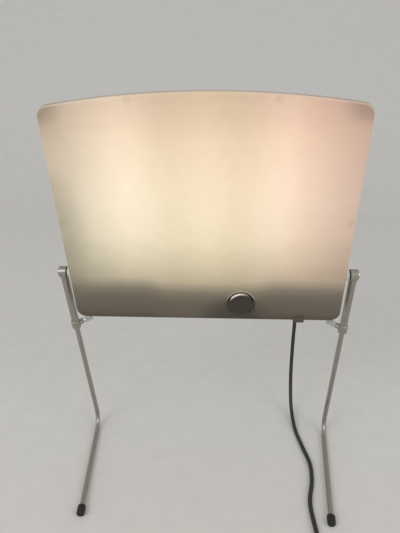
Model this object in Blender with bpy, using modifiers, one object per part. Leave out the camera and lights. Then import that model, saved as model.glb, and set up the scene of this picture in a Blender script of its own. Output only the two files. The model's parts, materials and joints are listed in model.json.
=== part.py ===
"""Light therapy lamp: a lit screen held up by two bent legs. Metres, +Z up, the screen faces -Y."""
from math import asin, atan2, cos, pi, radians, sin, sqrt, tan

import bmesh
import bpy
from mathutils import Matrix, Quaternion, Vector

# Clearances and cuts
GAP = 0.0003
OVERRUN = 0.002
MERGE = 0.00001

# Counts of sides and steps
ROUND_SIDES = 20
SMALL_SIDES = 12
CORNER_STEPS = 5
ARCH_STEPS = 12
EDGE_STEPS = 3
BEND_STEPS = 7

# Angles for shading and bevels, and how far a rounded edge's middle lies inside its corner
SMOOTH_ANGLE = radians(35)
BEVEL_ANGLE = radians(40)
ROUND_SHARE = 0.3

# Outline of the head, seen from the front
HEAD_WIDTH = 0.406
SIDE_HEIGHT = 0.326
ARCH_RISE = 0.017
CORNER_RADIUS = 0.015
HEAD_DEPTH = 0.080
HEAD_LEAN = radians(9)
ARCH_RADIUS = ((HEAD_WIDTH / 2) ** 2 + ARCH_RISE ** 2) / (2 * ARCH_RISE)
ARCH_CENTRE = SIDE_HEIGHT + ARCH_RISE - ARCH_RADIUS

# Front screen
SCREEN_THICKNESS = 0.002
SCREEN_SKIRT = 0.008
SCREEN_EDGE_RADIUS = 0.003
HOOK_WIDTH = 0.010
HOOK_THICKNESS = 0.002
HOOK_LENGTH = 0.0075
TOP_HOOK_SPACING = 0.180
SIDE_HOOK_HEIGHT = 0.170
LOW_HOOK_HEIGHT = 0.050
HOOK_DROP = 0.0006

# Rear shell
SHELL_WALL = 0.0025
RIM_SETBACK = 0.0015
RIM_SHOW = 0.004
BACK_SIDE_INSET = 0.014
BACK_BOTTOM_INSET = 0.010
BACK_TOP_INSET = 0.026
BACK_CORNER_RADIUS = 0.020
BACK_EDGE_RADIUS = 0.007
RIM_INSET = SCREEN_THICKNESS + GAP
RIM_START = SCREEN_THICKNESS + RIM_SETBACK
RIM_END = SCREEN_SKIRT + RIM_SHOW
VENT_COUNT = 11
VENT_PITCH = 0.022
VENT_WIDTH = 0.006
VENT_LENGTH = 0.034
TOP_VENT_DROP = 0.064
LOW_VENT_HEIGHT = 0.085

# Sheets inside the head, and the posts and screws that hold them
SHEET_BACK = 0.058
CHASSIS_THICKNESS = 0.001
CHASSIS_SIDE_ROOM = 0.029
CHASSIS_HALF_WIDTH = HEAD_WIDTH / 2 - CHASSIS_SIDE_ROOM
CHASSIS_BOTTOM = 0.0125
REFLECTOR_THICKNESS = 0.0008
REFLECTOR_RIM = 0.014
REFLECTOR_RIM_INSET = 0.019
REFLECTOR_BACK_INSET = 0.046
REFLECTOR_CORNER_RADIUS = 0.013
SHELF_HEIGHT = 0.063
SHELF_LOW_HEIGHT = 0.048
SHELF_LEFT_ROOM = 0.0155
SHELF_RIGHT_ROOM = 0.0055
SHELF_THICKNESS = 0.001
SHELF_FRONT = 0.0125
SHELF_SIDE_ROOM = 0.016
SHELF_HALF_WIDTH = HEAD_WIDTH / 2 - SHELF_SIDE_ROOM
POST_RADIUS = 0.004
PILOT_RADIUS = 0.0016
PILOT_DEPTH = 0.013
SCREW_RADIUS = 0.00125
SCREW_LENGTH = 0.011
SCREW_HEAD_RADIUS = 0.0032
SCREW_HEAD_HEIGHT = 0.002
SCREW_HEAD_EDGE = 0.001
POST_SIDE_ROOM = 0.059
REFLECTOR_POST_REACH = HEAD_WIDTH / 2 - POST_SIDE_ROOM
LOW_POST_HEIGHT = 0.090
TOP_POST_DROP = 0.058

# Ballasts
BALLAST_SIDE_ROOM = 0.052
BALLAST_REACH = HEAD_WIDTH / 2 - BALLAST_SIDE_ROOM
BALLAST_WIDTH = 0.040
BALLAST_BOTTOM = 0.016
BALLAST_TOP = 0.058
BALLAST_FRONT = 0.031

# Lamps, spread between the ballasts
LAMP_SHIFT = 0.006
HOLDER_WIDTH = 0.040
HOLDER_BALLAST_ROOM = 0.005
LAMP_PITCH = BALLAST_REACH - (BALLAST_WIDTH + HOLDER_WIDTH) / 2 - HOLDER_BALLAST_ROOM - LAMP_SHIFT
LAMP_DEPTH = 0.044
GLASS_RADIUS = 0.0085
GLASS_HALF_PITCH = 0.0105
LAMP_TOP_ROOM = 0.0604
BASE_WIDTH = 0.041
BASE_DEPTH = 0.020
BASE_HEIGHT = 0.032
PIN_COUNT = 4
PIN_RADIUS = 0.0012
PIN_LENGTH = 0.006
PIN_PITCH = 0.009
HOLDER_BOTTOM = 0.020
HOLDER_TOP = 0.045
HOLDER_REACH = 0.0105
HOLDER_FRONT = LAMP_DEPTH - HOLDER_REACH
CLIP_DROP = 0.0336
CLIP_WIDTH = 0.010
CLIP_THICKNESS = 0.001
CLIP_GRIP = 0.005
CLIP_FRONT = LAMP_DEPTH - CLIP_GRIP

# Terminal block, midway between two holders
BLOCK_X = LAMP_SHIFT - LAMP_PITCH / 2
BLOCK_WIDTH = 0.024
BLOCK_BOTTOM = 0.022
BLOCK_TOP = 0.040
BLOCK_FRONT = 0.043
BLOCK_STEP = 0.005
BLOCK_LEDGE = 0.0045

# Chassis posts, each beside a holder
POST_BALLAST_ROOM = 0.009
POST_HOLDER_ROOM = 0.014
CHASSIS_POST_LEFT = BALLAST_WIDTH / 2 + POST_BALLAST_ROOM - BALLAST_REACH
CHASSIS_POST_RIGHT = LAMP_SHIFT + LAMP_PITCH - HOLDER_WIDTH / 2 - POST_HOLDER_ROOM
CHASSIS_POST_HEIGHT = 0.023

# Knob and rotary switch
KNOB_HOLDER_ROOM = 0.0265
KNOB_X = LAMP_SHIFT + HOLDER_WIDTH / 2 + KNOB_HOLDER_ROOM
KNOB_HEIGHT = 0.032
KNOB_RADIUS = 0.0184
KNOB_FRONT_RADIUS = 0.0178
KNOB_PROUD = 0.0048
KNOB_REAR = 0.0075
KNOB_EDGE = 0.0010
KNOB_HOLE_RADIUS = 0.0205
POINTER_WIDTH = 0.0016
POINTER_LENGTH = 0.008
POINTER_PROUD = 0.0006
POINTER_MARGIN = 0.002
SHAFT_RADIUS = 0.003
SHAFT_FRONT = -0.002
SHAFT_REAR = 0.018
BRACKET_FRONT = 0.0155
BRACKET_THICKNESS = 0.001
BRACKET_WIDTH = 0.032
BRACKET_BOTTOM = 0.0145
BRACKET_TOP = 0.045
BRACKET_TAB = 0.0045
BUSHING_RADIUS = 0.0045
BUSHING_FRONT = 0.0085
NUT_RADIUS = 0.0075
NUT_THICKNESS = 0.003
SWITCH_SIZE = 0.026
SWITCH_REAR = 0.033

# Pivots between the head and the legs
LEG_STANDOFF = 0.014
LEG_PLANE = HEAD_WIDTH / 2 + LEG_STANDOFF
PIVOT_DEPTH = 0.0165
PIVOT_HEIGHT = 0.075
PIVOT_BOSS_RADIUS = 0.008
PIVOT_BOSS_REACH = 0.017
INSERT_RADIUS = 0.0045
INSERT_BORE_RADIUS = 0.0028
INSERT_LENGTH = 0.014
WASHER_RADIUS = 0.0075
WASHER_THICKNESS = 0.0012
PIVOT_SHANK_RADIUS = 0.003
PIVOT_THREAD_RADIUS = 0.0025
PIVOT_THREAD_LENGTH = 0.012
PIVOT_HEAD_RADIUS = 0.006
PIVOT_HEAD_HEIGHT = 0.0026
PIVOT_HEAD_EDGE = 0.0008

# Sleeves, rods and rubber tips
LEG_LEAN = radians(11.8)
LEG_LENGTH = 0.366
FOOT_LENGTH = 0.214
TOE_IN = radians(6)
ROD_RADIUS = 0.004
ROD_BEND_RADIUS = 0.025
ROD_TOP = 0.014
SLEEVE_RADIUS = 0.0057
SLEEVE_BORE_RADIUS = 0.0044
SLEEVE_LENGTH = 0.115
SLEEVE_BORE_TOP = 0.012
EYE_RADIUS = 0.0085
EYE_HOLE_RADIUS = 0.0034
COLLAR_RADIUS = 0.0072
COLLAR_HEIGHT = 0.014
TIP_RADIUS = 0.00635
TIP_LENGTH = 0.015
TIP_WALL = 0.004
TIP_BORE_RADIUS = 0.0043
SOLE_CUT = 0.0004

# Height-lock thumbscrews
LOCK_AIM = radians(38)
LOCK_BOSS_RADIUS = 0.0046
LOCK_BOSS_REACH = 0.0125
LOCK_HOLE_RADIUS = 0.0024
LOCK_SHANK_RADIUS = 0.002
LOCK_NECK = 0.002
LOCK_KNOB_RADIUS = 0.0052
LOCK_KNOB_LENGTH = 0.014
LOCK_KNOB_EDGE = 0.001

# Retaining clip at the bottom edge
TAB_SIDE_ROOM = 0.0622
TAB_X = HEAD_WIDTH / 2 - TAB_SIDE_ROOM
TAB_WIDTH = 0.0165
TAB_THICKNESS = 0.0012
TAB_RISE = 0.0075
TAB_DROP = 0.0028
TAB_HOOK_RISE = 0.0019

# Strain relief in the back of the shell
RELIEF_SIDE_ROOM = 0.037
RELIEF_X = HEAD_WIDTH / 2 - RELIEF_SIDE_ROOM
RELIEF_HEIGHT = 0.036
RELIEF_HOLE_RADIUS = 0.0068
RELIEF_NECK_RADIUS = 0.0065
RELIEF_FLANGE_RADIUS = 0.0092
RELIEF_FLANGE_THICKNESS = 0.003
RELIEF_LIP_THICKNESS = 0.0016
RELIEF_BOOT_RADIUS = 0.0072
RELIEF_END_RADIUS = 0.0048
RELIEF_BOOT_LENGTH = 0.030

# Wires inside the head
WIRE_RADIUS = 0.0011
INLET_WIRE_RADIUS = 0.0025
WIRE_LANE = 0.0215
INLET_LANE = 0.0635
INLET_HOLE_RADIUS = 0.0045
INLET_HOLE_HEIGHT = 0.0505
WIRE_STEP = 0.0075
WIRE_RISE = 0.007
WIRE_SPREAD = 0.005
WIRE_TURN = 0.007

# Power cord, coil and plug
CORD_RADIUS = 0.0035
CORD_HEIGHT = 0.0036
CORD_STEP = 0.0125
COIL_OUTER_RADIUS = 0.0465
COIL_PITCH = 0.0076
COIL_TURNS = 2
COIL_CLIMB_TURNS = 0.5
COIL_UPPER_TURNS = 1.75
COIL_LOOP_POINTS = 24
COIL_LEAD = 0.008
COIL_TAIL = 0.036
COIL_FRONT = -0.2005
PLUG_BOOT_LENGTH = 0.018
PLUG_BOOT_RADIUS = 0.0052
PLUG_BOOT_ROOT_RADIUS = 0.0075
PLUG_LENGTH = 0.038
PLUG_WIDTH = 0.025
PLUG_HEIGHT = 0.022
PLUG_EDGE = 0.003
BLADE_LENGTH = 0.016
BLADE_THICKNESS = 0.0015
BLADE_WIDTH = 0.0064
BLADE_HALF_PITCH = 0.00635
BLADE_RISE = 0.0042
GROUND_RADIUS = 0.0024
GROUND_DROP = 0.0068
GROUND_LENGTH = 0.019

# The cord's free stretch, from the strain relief down to the table and forward to the coil
CORD_ROUTE = (
    (0.166, 0.1895, 0.319),
    (0.165, 0.2015, 0.268),
    (0.163, 0.1995, 0.200),
    (0.161, 0.1925, 0.120),
    (0.160, 0.1765, 0.056),
    (0.160, 0.1435, 0.016),
    (0.163, 0.0975, CORD_HEIGHT),
    (0.171, 0.0535, CORD_HEIGHT),
    (0.179, 0.0135, CORD_HEIGHT),
    (0.177, -0.0225, CORD_HEIGHT),
    (0.168, -0.0645, CORD_HEIGHT),
    (0.170, -0.1165, CORD_HEIGHT),
    (0.175, -0.1625, CORD_HEIGHT),
)
CORD_EXIT_RUN = 0.020
CORD_ENTRY_RUN = 0.010
COIL_ENTRY_X = 0.175

FRONT_VIEW = Matrix.Rotation(pi / 2, 4, "X")
SIDE_VIEW = Matrix(((0, 0, 1, 0), (1, 0, 0, 0), (0, 1, 0, 0), (0, 0, 0, 1)))


# Scene, materials and small helpers
def clear_scene():
    for obj in list(bpy.data.objects):
        bpy.data.objects.remove(obj)


def make_collection(name):
    collection = bpy.data.collections.new(name)
    bpy.context.scene.collection.children.link(collection)
    return collection


def make_material(name, colour, roughness, metallic=0.0, alpha=1.0):
    material = bpy.data.materials.new(name)
    material.use_nodes = True
    shader = material.node_tree.nodes["Principled BSDF"]
    shader.inputs["Base Color"].default_value = (*colour, 1.0)
    shader.inputs["Roughness"].default_value = roughness
    shader.inputs["Metallic"].default_value = metallic
    shader.inputs["Alpha"].default_value = alpha
    return material


def make_empty(name, parent, location=(0, 0, 0), rotation=(0, 0, 0)):
    empty = bpy.data.objects.new(name, None)
    PARTS.objects.link(empty)
    empty.parent = parent
    empty.location = location
    empty.rotation_euler = rotation
    return empty


def add_box(bm, low, high):
    low = Vector(low)
    high = Vector(high)
    place = Matrix.Translation((low + high) / 2) @ Matrix.Diagonal((*(high - low), 1))
    bmesh.ops.create_cube(bm, size=1, matrix=place)


def add_cylinder(bm, start, end, radius, sides=ROUND_SIDES, end_radius=None):
    start = Vector(start)
    end = Vector(end)
    along = end - start
    turn = along.to_track_quat("Z", "Y").to_matrix().to_4x4()
    place = Matrix.Translation((start + end) / 2) @ turn
    last = radius if end_radius is None else end_radius
    bmesh.ops.create_cone(
        bm, cap_ends=True, segments=sides, radius1=radius, radius2=last, depth=along.length, matrix=place)


def add_prism(bm, outline, thickness, place):
    """Extrudes an outline in the place's own XY plane along its Z."""
    face = bm.faces.new([bm.verts.new((x, y, 0)) for x, y in outline])
    result = bmesh.ops.extrude_face_region(bm, geom=[face])
    moved = [item for item in result["geom"] if isinstance(item, bmesh.types.BMVert)]
    bmesh.ops.translate(bm, verts=moved, vec=(0, 0, thickness))
    bmesh.ops.transform(bm, matrix=place, verts=bm.verts)
    bmesh.ops.recalc_face_normals(bm, faces=bm.faces)


def finish(name, bm, material, parent, location=(0, 0, 0), rotation=(0, 0, 0)):
    mesh = bpy.data.meshes.new(name)
    bm.to_mesh(mesh)
    bm.free()
    mesh.materials.append(material)
    obj = bpy.data.objects.new(name, mesh)
    PARTS.objects.link(obj)
    obj.parent = parent
    obj.location = location
    obj.rotation_euler = rotation
    return obj


def make_tool(name, bm, parent):
    """Makes a hidden solid that is cut from a part or joined to it."""
    mesh = bpy.data.meshes.new(name)
    bm.to_mesh(mesh)
    bm.free()
    tool = bpy.data.objects.new(name, mesh)
    TOOLS.objects.link(tool)
    tool.parent = parent
    tool.hide_render = True
    tool.display_type = "WIRE"
    return tool


def combine(obj, operation, tool):
    modifier = obj.modifiers.new(tool.name, "BOOLEAN")
    modifier.operation = operation
    modifier.solver = "EXACT"
    modifier.object = tool


def round_edges(obj, width, segments=2):
    bevel = obj.modifiers.new("rounded_edges", "BEVEL")
    bevel.width = width
    bevel.segments = segments
    bevel.limit_method = "ANGLE"
    bevel.angle_limit = BEVEL_ANGLE


def shade_round(obj):
    obj.data.shade_smooth()
    obj.data.set_sharp_from_angle(angle=SMOOTH_ANGLE)


def turned(name, profile, material, parent, location=(0, 0, 0), rotation=(0, 0, 0), ring=False,
           sides=ROUND_SIDES):
    """Turns a profile of radius and height pairs about its own Z; it runs down its outer side."""
    bm = bmesh.new()
    points = [bm.verts.new((radius, 0, height)) for radius, height in profile]
    for first, second in zip(points, points[1:]):
        bm.edges.new((first, second))
    if ring:
        bm.edges.new((points[-1], points[0]))
    obj = finish(name, bm, material, parent, location, rotation)
    screw = obj.modifiers.new("turn", "SCREW")
    screw.steps = sides
    screw.render_steps = sides
    screw.use_merge_vertices = True
    screw.merge_threshold = MERGE
    return obj


def tube(name, route, radius, material, parent, resolution=2):
    """A round bar, wire or cord through a route's points, with flat ends."""
    curve = bpy.data.curves.new(name, "CURVE")
    curve.dimensions = "3D"
    curve.bevel_depth = radius
    curve.bevel_resolution = resolution
    curve.use_fill_caps = True
    spline = curve.splines.new("POLY")
    spline.points.add(len(route) - 1)
    for point, place in zip(spline.points, route):
        point.co = (*place, 1)
    curve.materials.append(material)
    obj = bpy.data.objects.new(name, curve)
    PARTS.objects.link(obj)
    obj.parent = parent
    return obj


def route_length(points):
    return sum((Vector(b) - Vector(a)).length for a, b in zip(points, points[1:]))


def smooth_route(points, step):
    """Points about a step apart on a smooth curve through the route's points."""
    knots = [Vector(point) for point in points]
    knots = [2 * knots[0] - knots[1], *knots, 2 * knots[-1] - knots[-2]]
    route = []
    for p0, p1, p2, p3 in zip(knots, knots[1:], knots[2:], knots[3:]):
        t1 = sqrt((p1 - p0).length)
        t2 = t1 + sqrt((p2 - p1).length)
        t3 = t2 + sqrt((p3 - p2).length)
        count = max(2, round((p2 - p1).length / step))
        for index in range(count):
            t = t1 + (t2 - t1) * index / count
            a1 = p0.lerp(p1, t / t1)
            a2 = p1.lerp(p2, (t - t1) / (t2 - t1))
            a3 = p2.lerp(p3, (t - t2) / (t3 - t2))
            b1 = a1.lerp(a2, t / t2)
            b2 = a2.lerp(a3, (t - t1) / (t3 - t1))
            route.append(b1.lerp(b2, (t - t1) / (t2 - t1)))
    route.append(Vector(points[-1]))
    return route


def arc(centre_x, centre_z, radius, start, end, steps):
    angles = [start + (end - start) * step / steps for step in range(steps + 1)]
    return [(centre_x + radius * cos(angle), centre_z + radius * sin(angle)) for angle in angles]


# Outlines of the head
def top_outline(side_inset, top_inset, radius):
    """The arched top with its two rounded corners, from the right side to the left."""
    corner_x = HEAD_WIDTH / 2 - side_inset - radius
    arch = ARCH_RADIUS - top_inset
    corner_z = ARCH_CENTRE + sqrt((arch - radius) ** 2 - corner_x ** 2)
    tangent = atan2(corner_z - ARCH_CENTRE, corner_x)
    points = arc(corner_x, corner_z, radius, 0, tangent, CORNER_STEPS)
    points += arc(0, ARCH_CENTRE, arch, tangent, pi - tangent, ARCH_STEPS)[1:-1]
    points += arc(-corner_x, corner_z, radius, pi - tangent, pi, CORNER_STEPS)
    return points


def head_outline(side_inset, bottom_inset, top_inset, radius):
    corner_x = HEAD_WIDTH / 2 - side_inset - radius
    corner_z = bottom_inset + radius
    points = arc(-corner_x, corner_z, radius, pi, 3 * pi / 2, CORNER_STEPS)
    points += arc(corner_x, corner_z, radius, 3 * pi / 2, 2 * pi, CORNER_STEPS)
    return points + top_outline(side_inset, top_inset, radius)


def top_at(x, inset):
    """Height of the arched top edge at a place across the head, less an inset."""
    return ARCH_CENTRE + sqrt((ARCH_RADIUS - inset) ** 2 - x ** 2)


def loft(sections, front_cap, back_cap, closed=True):
    """Walls between outlines at given depths, facing away from the head's middle."""
    bm = bmesh.new()
    rings = [[bm.verts.new((x, depth, z)) for x, z in outline] for depth, outline in sections]
    for front, back in zip(rings, rings[1:]):
        for index in range(len(front) if closed else len(front) - 1):
            after = (index + 1) % len(front)
            bm.faces.new((front[after], front[index], back[index], back[after]))
    if front_cap:
        bm.faces.new(rings[0])
    if back_cap:
        bm.faces.new(reversed(rings[-1]))
    return bm


def thicken(obj, thickness):
    """Gives an open surface its wall, inward from the drawn face."""
    solid = obj.modifiers.new("wall", "SOLIDIFY")
    solid.thickness = thickness
    solid.offset = -1
    solid.use_even_offset = True


# Front screen with its hooks and the knob's hole
def make_screen(parent):
    sections = []
    for step in range(EDGE_STEPS + 1):
        angle = pi / 2 * step / EDGE_STEPS
        inset = SCREEN_EDGE_RADIUS * (1 - sin(angle))
        depth = SCREEN_EDGE_RADIUS * (1 - cos(angle))
        sections.append((depth, head_outline(inset, inset, inset, CORNER_RADIUS - inset)))
    sections.append((SCREEN_SKIRT, head_outline(0, 0, 0, CORNER_RADIUS)))
    screen = finish("front_screen", loft(sections, True, False), OPAL, parent)
    thicken(screen, SCREEN_THICKNESS)

    hook_inset = RIM_INSET + SHELL_WALL + GAP
    front = SCREEN_THICKNESS / 2
    back = SCREEN_THICKNESS + HOOK_LENGTH
    hooks = bmesh.new()
    for side in (-1, 1):
        x = side * TOP_HOOK_SPACING / 2
        top = top_at(abs(x) + HOOK_WIDTH / 2, hook_inset) - HOOK_DROP
        add_box(hooks, (x - HOOK_WIDTH / 2, front, top - HOOK_THICKNESS), (x + HOOK_WIDTH / 2, back, top))
        bottom = hook_inset
        add_box(
            hooks, (x - HOOK_WIDTH / 2, front, bottom), (x + HOOK_WIDTH / 2, back, bottom + HOOK_THICKNESS))
        outer = HEAD_WIDTH / 2 - hook_inset
        for height in (SIDE_HOOK_HEIGHT, LOW_HOOK_HEIGHT):
            low = height - HOOK_WIDTH / 2
            ends = sorted((side * outer, side * (outer - HOOK_THICKNESS)))
            add_box(hooks, (ends[0], front, low), (ends[1], back, low + HOOK_WIDTH))
    combine(screen, "UNION", make_tool("screen_hooks", hooks, parent))

    hole = bmesh.new()
    add_cylinder(
        hole, (KNOB_X, -OVERRUN, KNOB_HEIGHT), (KNOB_X, SCREEN_THICKNESS + OVERRUN, KNOB_HEIGHT),
        KNOB_HOLE_RADIUS)
    combine(screen, "DIFFERENCE", make_tool("knob_hole", hole, parent))


# Rear shell with its posts, bosses, vents and holes
def chassis_posts():
    return [(x, CHASSIS_POST_HEIGHT) for x in (CHASSIS_POST_LEFT, CHASSIS_POST_RIGHT)]


def reflector_posts():
    heights = (LOW_POST_HEIGHT, SIDE_HEIGHT - TOP_POST_DROP)
    return [(x, z) for x in (-REFLECTOR_POST_REACH, REFLECTOR_POST_REACH) for z in heights]


def boss_end():
    """Distance from the middle to the outer face of a pivot boss."""
    return LEG_PLANE - SLEEVE_RADIUS - WASHER_THICKNESS - 2 * GAP


def make_shell(parent):
    rim = head_outline(RIM_INSET, RIM_INSET, RIM_INSET, CORNER_RADIUS - RIM_INSET)
    sections = [(RIM_START, rim), (RIM_END, rim)]
    for step in range(EDGE_STEPS + 1):
        angle = pi / 2 * step / EDGE_STEPS
        extra = BACK_EDGE_RADIUS * (1 - cos(angle))
        depth = HEAD_DEPTH - BACK_EDGE_RADIUS * (1 - sin(angle))
        outline = head_outline(
            BACK_SIDE_INSET + extra, BACK_BOTTOM_INSET + extra, BACK_TOP_INSET + extra,
            BACK_CORNER_RADIUS - extra / 2)
        sections.append((depth, outline))
    shell = finish("rear_shell", loft(sections, False, True), HOUSING, parent)
    thicken(shell, SHELL_WALL)

    wall_middle = HEAD_DEPTH - SHELL_WALL / 2
    added = bmesh.new()
    for x, z in chassis_posts() + reflector_posts():
        add_cylinder(added, (x, SHEET_BACK + GAP, z), (x, wall_middle, z), POST_RADIUS, SMALL_SIDES)
    inner = HEAD_WIDTH / 2 - PIVOT_BOSS_REACH
    for side in (-1, 1):
        add_cylinder(
            added, (side * inner, PIVOT_DEPTH, PIVOT_HEIGHT), (side * boss_end(), PIVOT_DEPTH, PIVOT_HEIGHT),
            PIVOT_BOSS_RADIUS)
    combine(shell, "UNION", make_tool("shell_posts", added, parent))

    removed = bmesh.new()
    for x, z in chassis_posts() + reflector_posts():
        start = SHEET_BACK + GAP
        add_cylinder(removed, (x, start - OVERRUN, z), (x, start + PILOT_DEPTH, z), PILOT_RADIUS, SMALL_SIDES)
    bore_end = boss_end() - INSERT_LENGTH - GAP
    for side in (-1, 1):
        add_cylinder(
            removed, (side * bore_end, PIVOT_DEPTH, PIVOT_HEIGHT),
            (side * (boss_end() + OVERRUN), PIVOT_DEPTH, PIVOT_HEIGHT), INSERT_RADIUS + GAP)
    for index in range(VENT_COUNT):
        x = (index - (VENT_COUNT - 1) / 2) * VENT_PITCH
        for z in (SIDE_HEIGHT - TOP_VENT_DROP, LOW_VENT_HEIGHT):
            add_box(
                removed, (x - VENT_WIDTH / 2, HEAD_DEPTH - SHELL_WALL - OVERRUN, z - VENT_LENGTH / 2),
                (x + VENT_WIDTH / 2, HEAD_DEPTH + OVERRUN, z + VENT_LENGTH / 2))
    add_cylinder(
        removed, (RELIEF_X, HEAD_DEPTH - SHELL_WALL - OVERRUN, RELIEF_HEIGHT),
        (RELIEF_X, HEAD_DEPTH + OVERRUN, RELIEF_HEIGHT), RELIEF_HOLE_RADIUS)
    combine(shell, "DIFFERENCE", make_tool("shell_cuts", removed, parent))


# Reflector, chassis and shelf
def lamp_places():
    return {
        "left": LAMP_SHIFT - LAMP_PITCH,
        "middle": LAMP_SHIFT,
        "right": LAMP_SHIFT + LAMP_PITCH,
    }


def make_reflector(parent):
    bottom = SHELF_HEIGHT + 2 * GAP
    sections = []
    for depth, inset in ((REFLECTOR_RIM, REFLECTOR_RIM_INSET), (SHEET_BACK, REFLECTOR_BACK_INSET)):
        half = HEAD_WIDTH / 2 - inset
        outline = [(half, bottom), *top_outline(inset, inset, REFLECTOR_CORNER_RADIUS), (-half, bottom)]
        sections.append((depth, outline))
    reflector = finish("reflector", loft(sections, False, True, closed=False), WHITE_SHEET, parent)
    thicken(reflector, REFLECTOR_THICKNESS)
    holes = bmesh.new()
    for x, z in reflector_posts():
        add_cylinder(
            holes, (x, SHEET_BACK - REFLECTOR_THICKNESS - OVERRUN, z), (x, SHEET_BACK + OVERRUN, z),
            PILOT_RADIUS + GAP, SMALL_SIDES)
    combine(reflector, "DIFFERENCE", make_tool("reflector_holes", holes, parent))


def make_chassis(parent):
    front = SHEET_BACK - CHASSIS_THICKNESS
    sheet = bmesh.new()
    add_box(
        sheet, (-CHASSIS_HALF_WIDTH, front, CHASSIS_BOTTOM), (CHASSIS_HALF_WIDTH, SHEET_BACK, SHELF_HEIGHT))
    chassis = finish("chassis", sheet, GALVANISED, parent)
    holes = bmesh.new()
    for x, z in chassis_posts():
        add_cylinder(
            holes, (x, front - OVERRUN, z), (x, SHEET_BACK + OVERRUN, z), PILOT_RADIUS + GAP, SMALL_SIDES)
    add_cylinder(
        holes, (BLOCK_X, front - OVERRUN, INLET_HOLE_HEIGHT),
        (BLOCK_X, SHEET_BACK + OVERRUN, INLET_HOLE_HEIGHT), INLET_HOLE_RADIUS, SMALL_SIDES)
    combine(chassis, "DIFFERENCE", make_tool("chassis_holes", holes, parent))


def make_shelf(parent):
    upper = SHELF_HEIGHT
    lower = SHELF_LOW_HEIGHT
    low_left = LAMP_SHIFT - BASE_WIDTH / 2 - SHELF_LEFT_ROOM
    low_right = LAMP_SHIFT + LAMP_PITCH - BASE_WIDTH / 2 - SHELF_RIGHT_ROOM
    sheet = SHELF_THICKNESS
    outline = [
        (-SHELF_HALF_WIDTH, upper - sheet), (low_left - sheet, upper - sheet),
        (low_left - sheet, lower - sheet), (low_right + sheet, lower - sheet),
        (low_right + sheet, upper - sheet), (SHELF_HALF_WIDTH, upper - sheet),
        (SHELF_HALF_WIDTH, upper), (low_right, upper), (low_right, lower),
        (low_left, lower), (low_left, upper), (-SHELF_HALF_WIDTH, upper),
    ]
    back = SHEET_BACK - CHASSIS_THICKNESS - GAP
    bm = bmesh.new()
    add_prism(bm, outline, back - SHELF_FRONT, Matrix.Translation((0, back, 0)) @ FRONT_VIEW)
    shelf = finish("shelf", bm, WHITE_SHEET, parent)
    holes = bmesh.new()
    half_width = BASE_WIDTH / 2 + 2 * GAP
    half_depth = BASE_DEPTH / 2 + 2 * GAP
    for x in lamp_places().values():
        add_box(
            holes, (x - half_width, LAMP_DEPTH - half_depth, lower - OVERRUN),
            (x + half_width, LAMP_DEPTH + half_depth, upper + OVERRUN))
    combine(shelf, "DIFFERENCE", make_tool("shelf_holes", holes, parent))


def make_sheet_screws(parent):
    profile = [
        (0, SCREW_HEAD_HEIGHT), (SCREW_HEAD_RADIUS - SCREW_HEAD_EDGE, SCREW_HEAD_HEIGHT),
        (SCREW_HEAD_RADIUS, SCREW_HEAD_HEIGHT / 2), (SCREW_HEAD_RADIUS, 0), (SCREW_RADIUS, 0),
        (SCREW_RADIUS, -SCREW_LENGTH), (0, -SCREW_LENGTH),
    ]
    groups = {
        "chassis_screw": (chassis_posts(), SHEET_BACK - CHASSIS_THICKNESS - GAP),
        "reflector_screw": (reflector_posts(), SHEET_BACK - REFLECTOR_THICKNESS - GAP),
    }
    for name, (spots, depth) in groups.items():
        for number, (x, z) in enumerate(spots, start=1):
            turned(
                f"{name}_{number}", profile, STEEL, parent, (x, depth, z), (pi / 2, 0, 0), sides=SMALL_SIDES)


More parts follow.
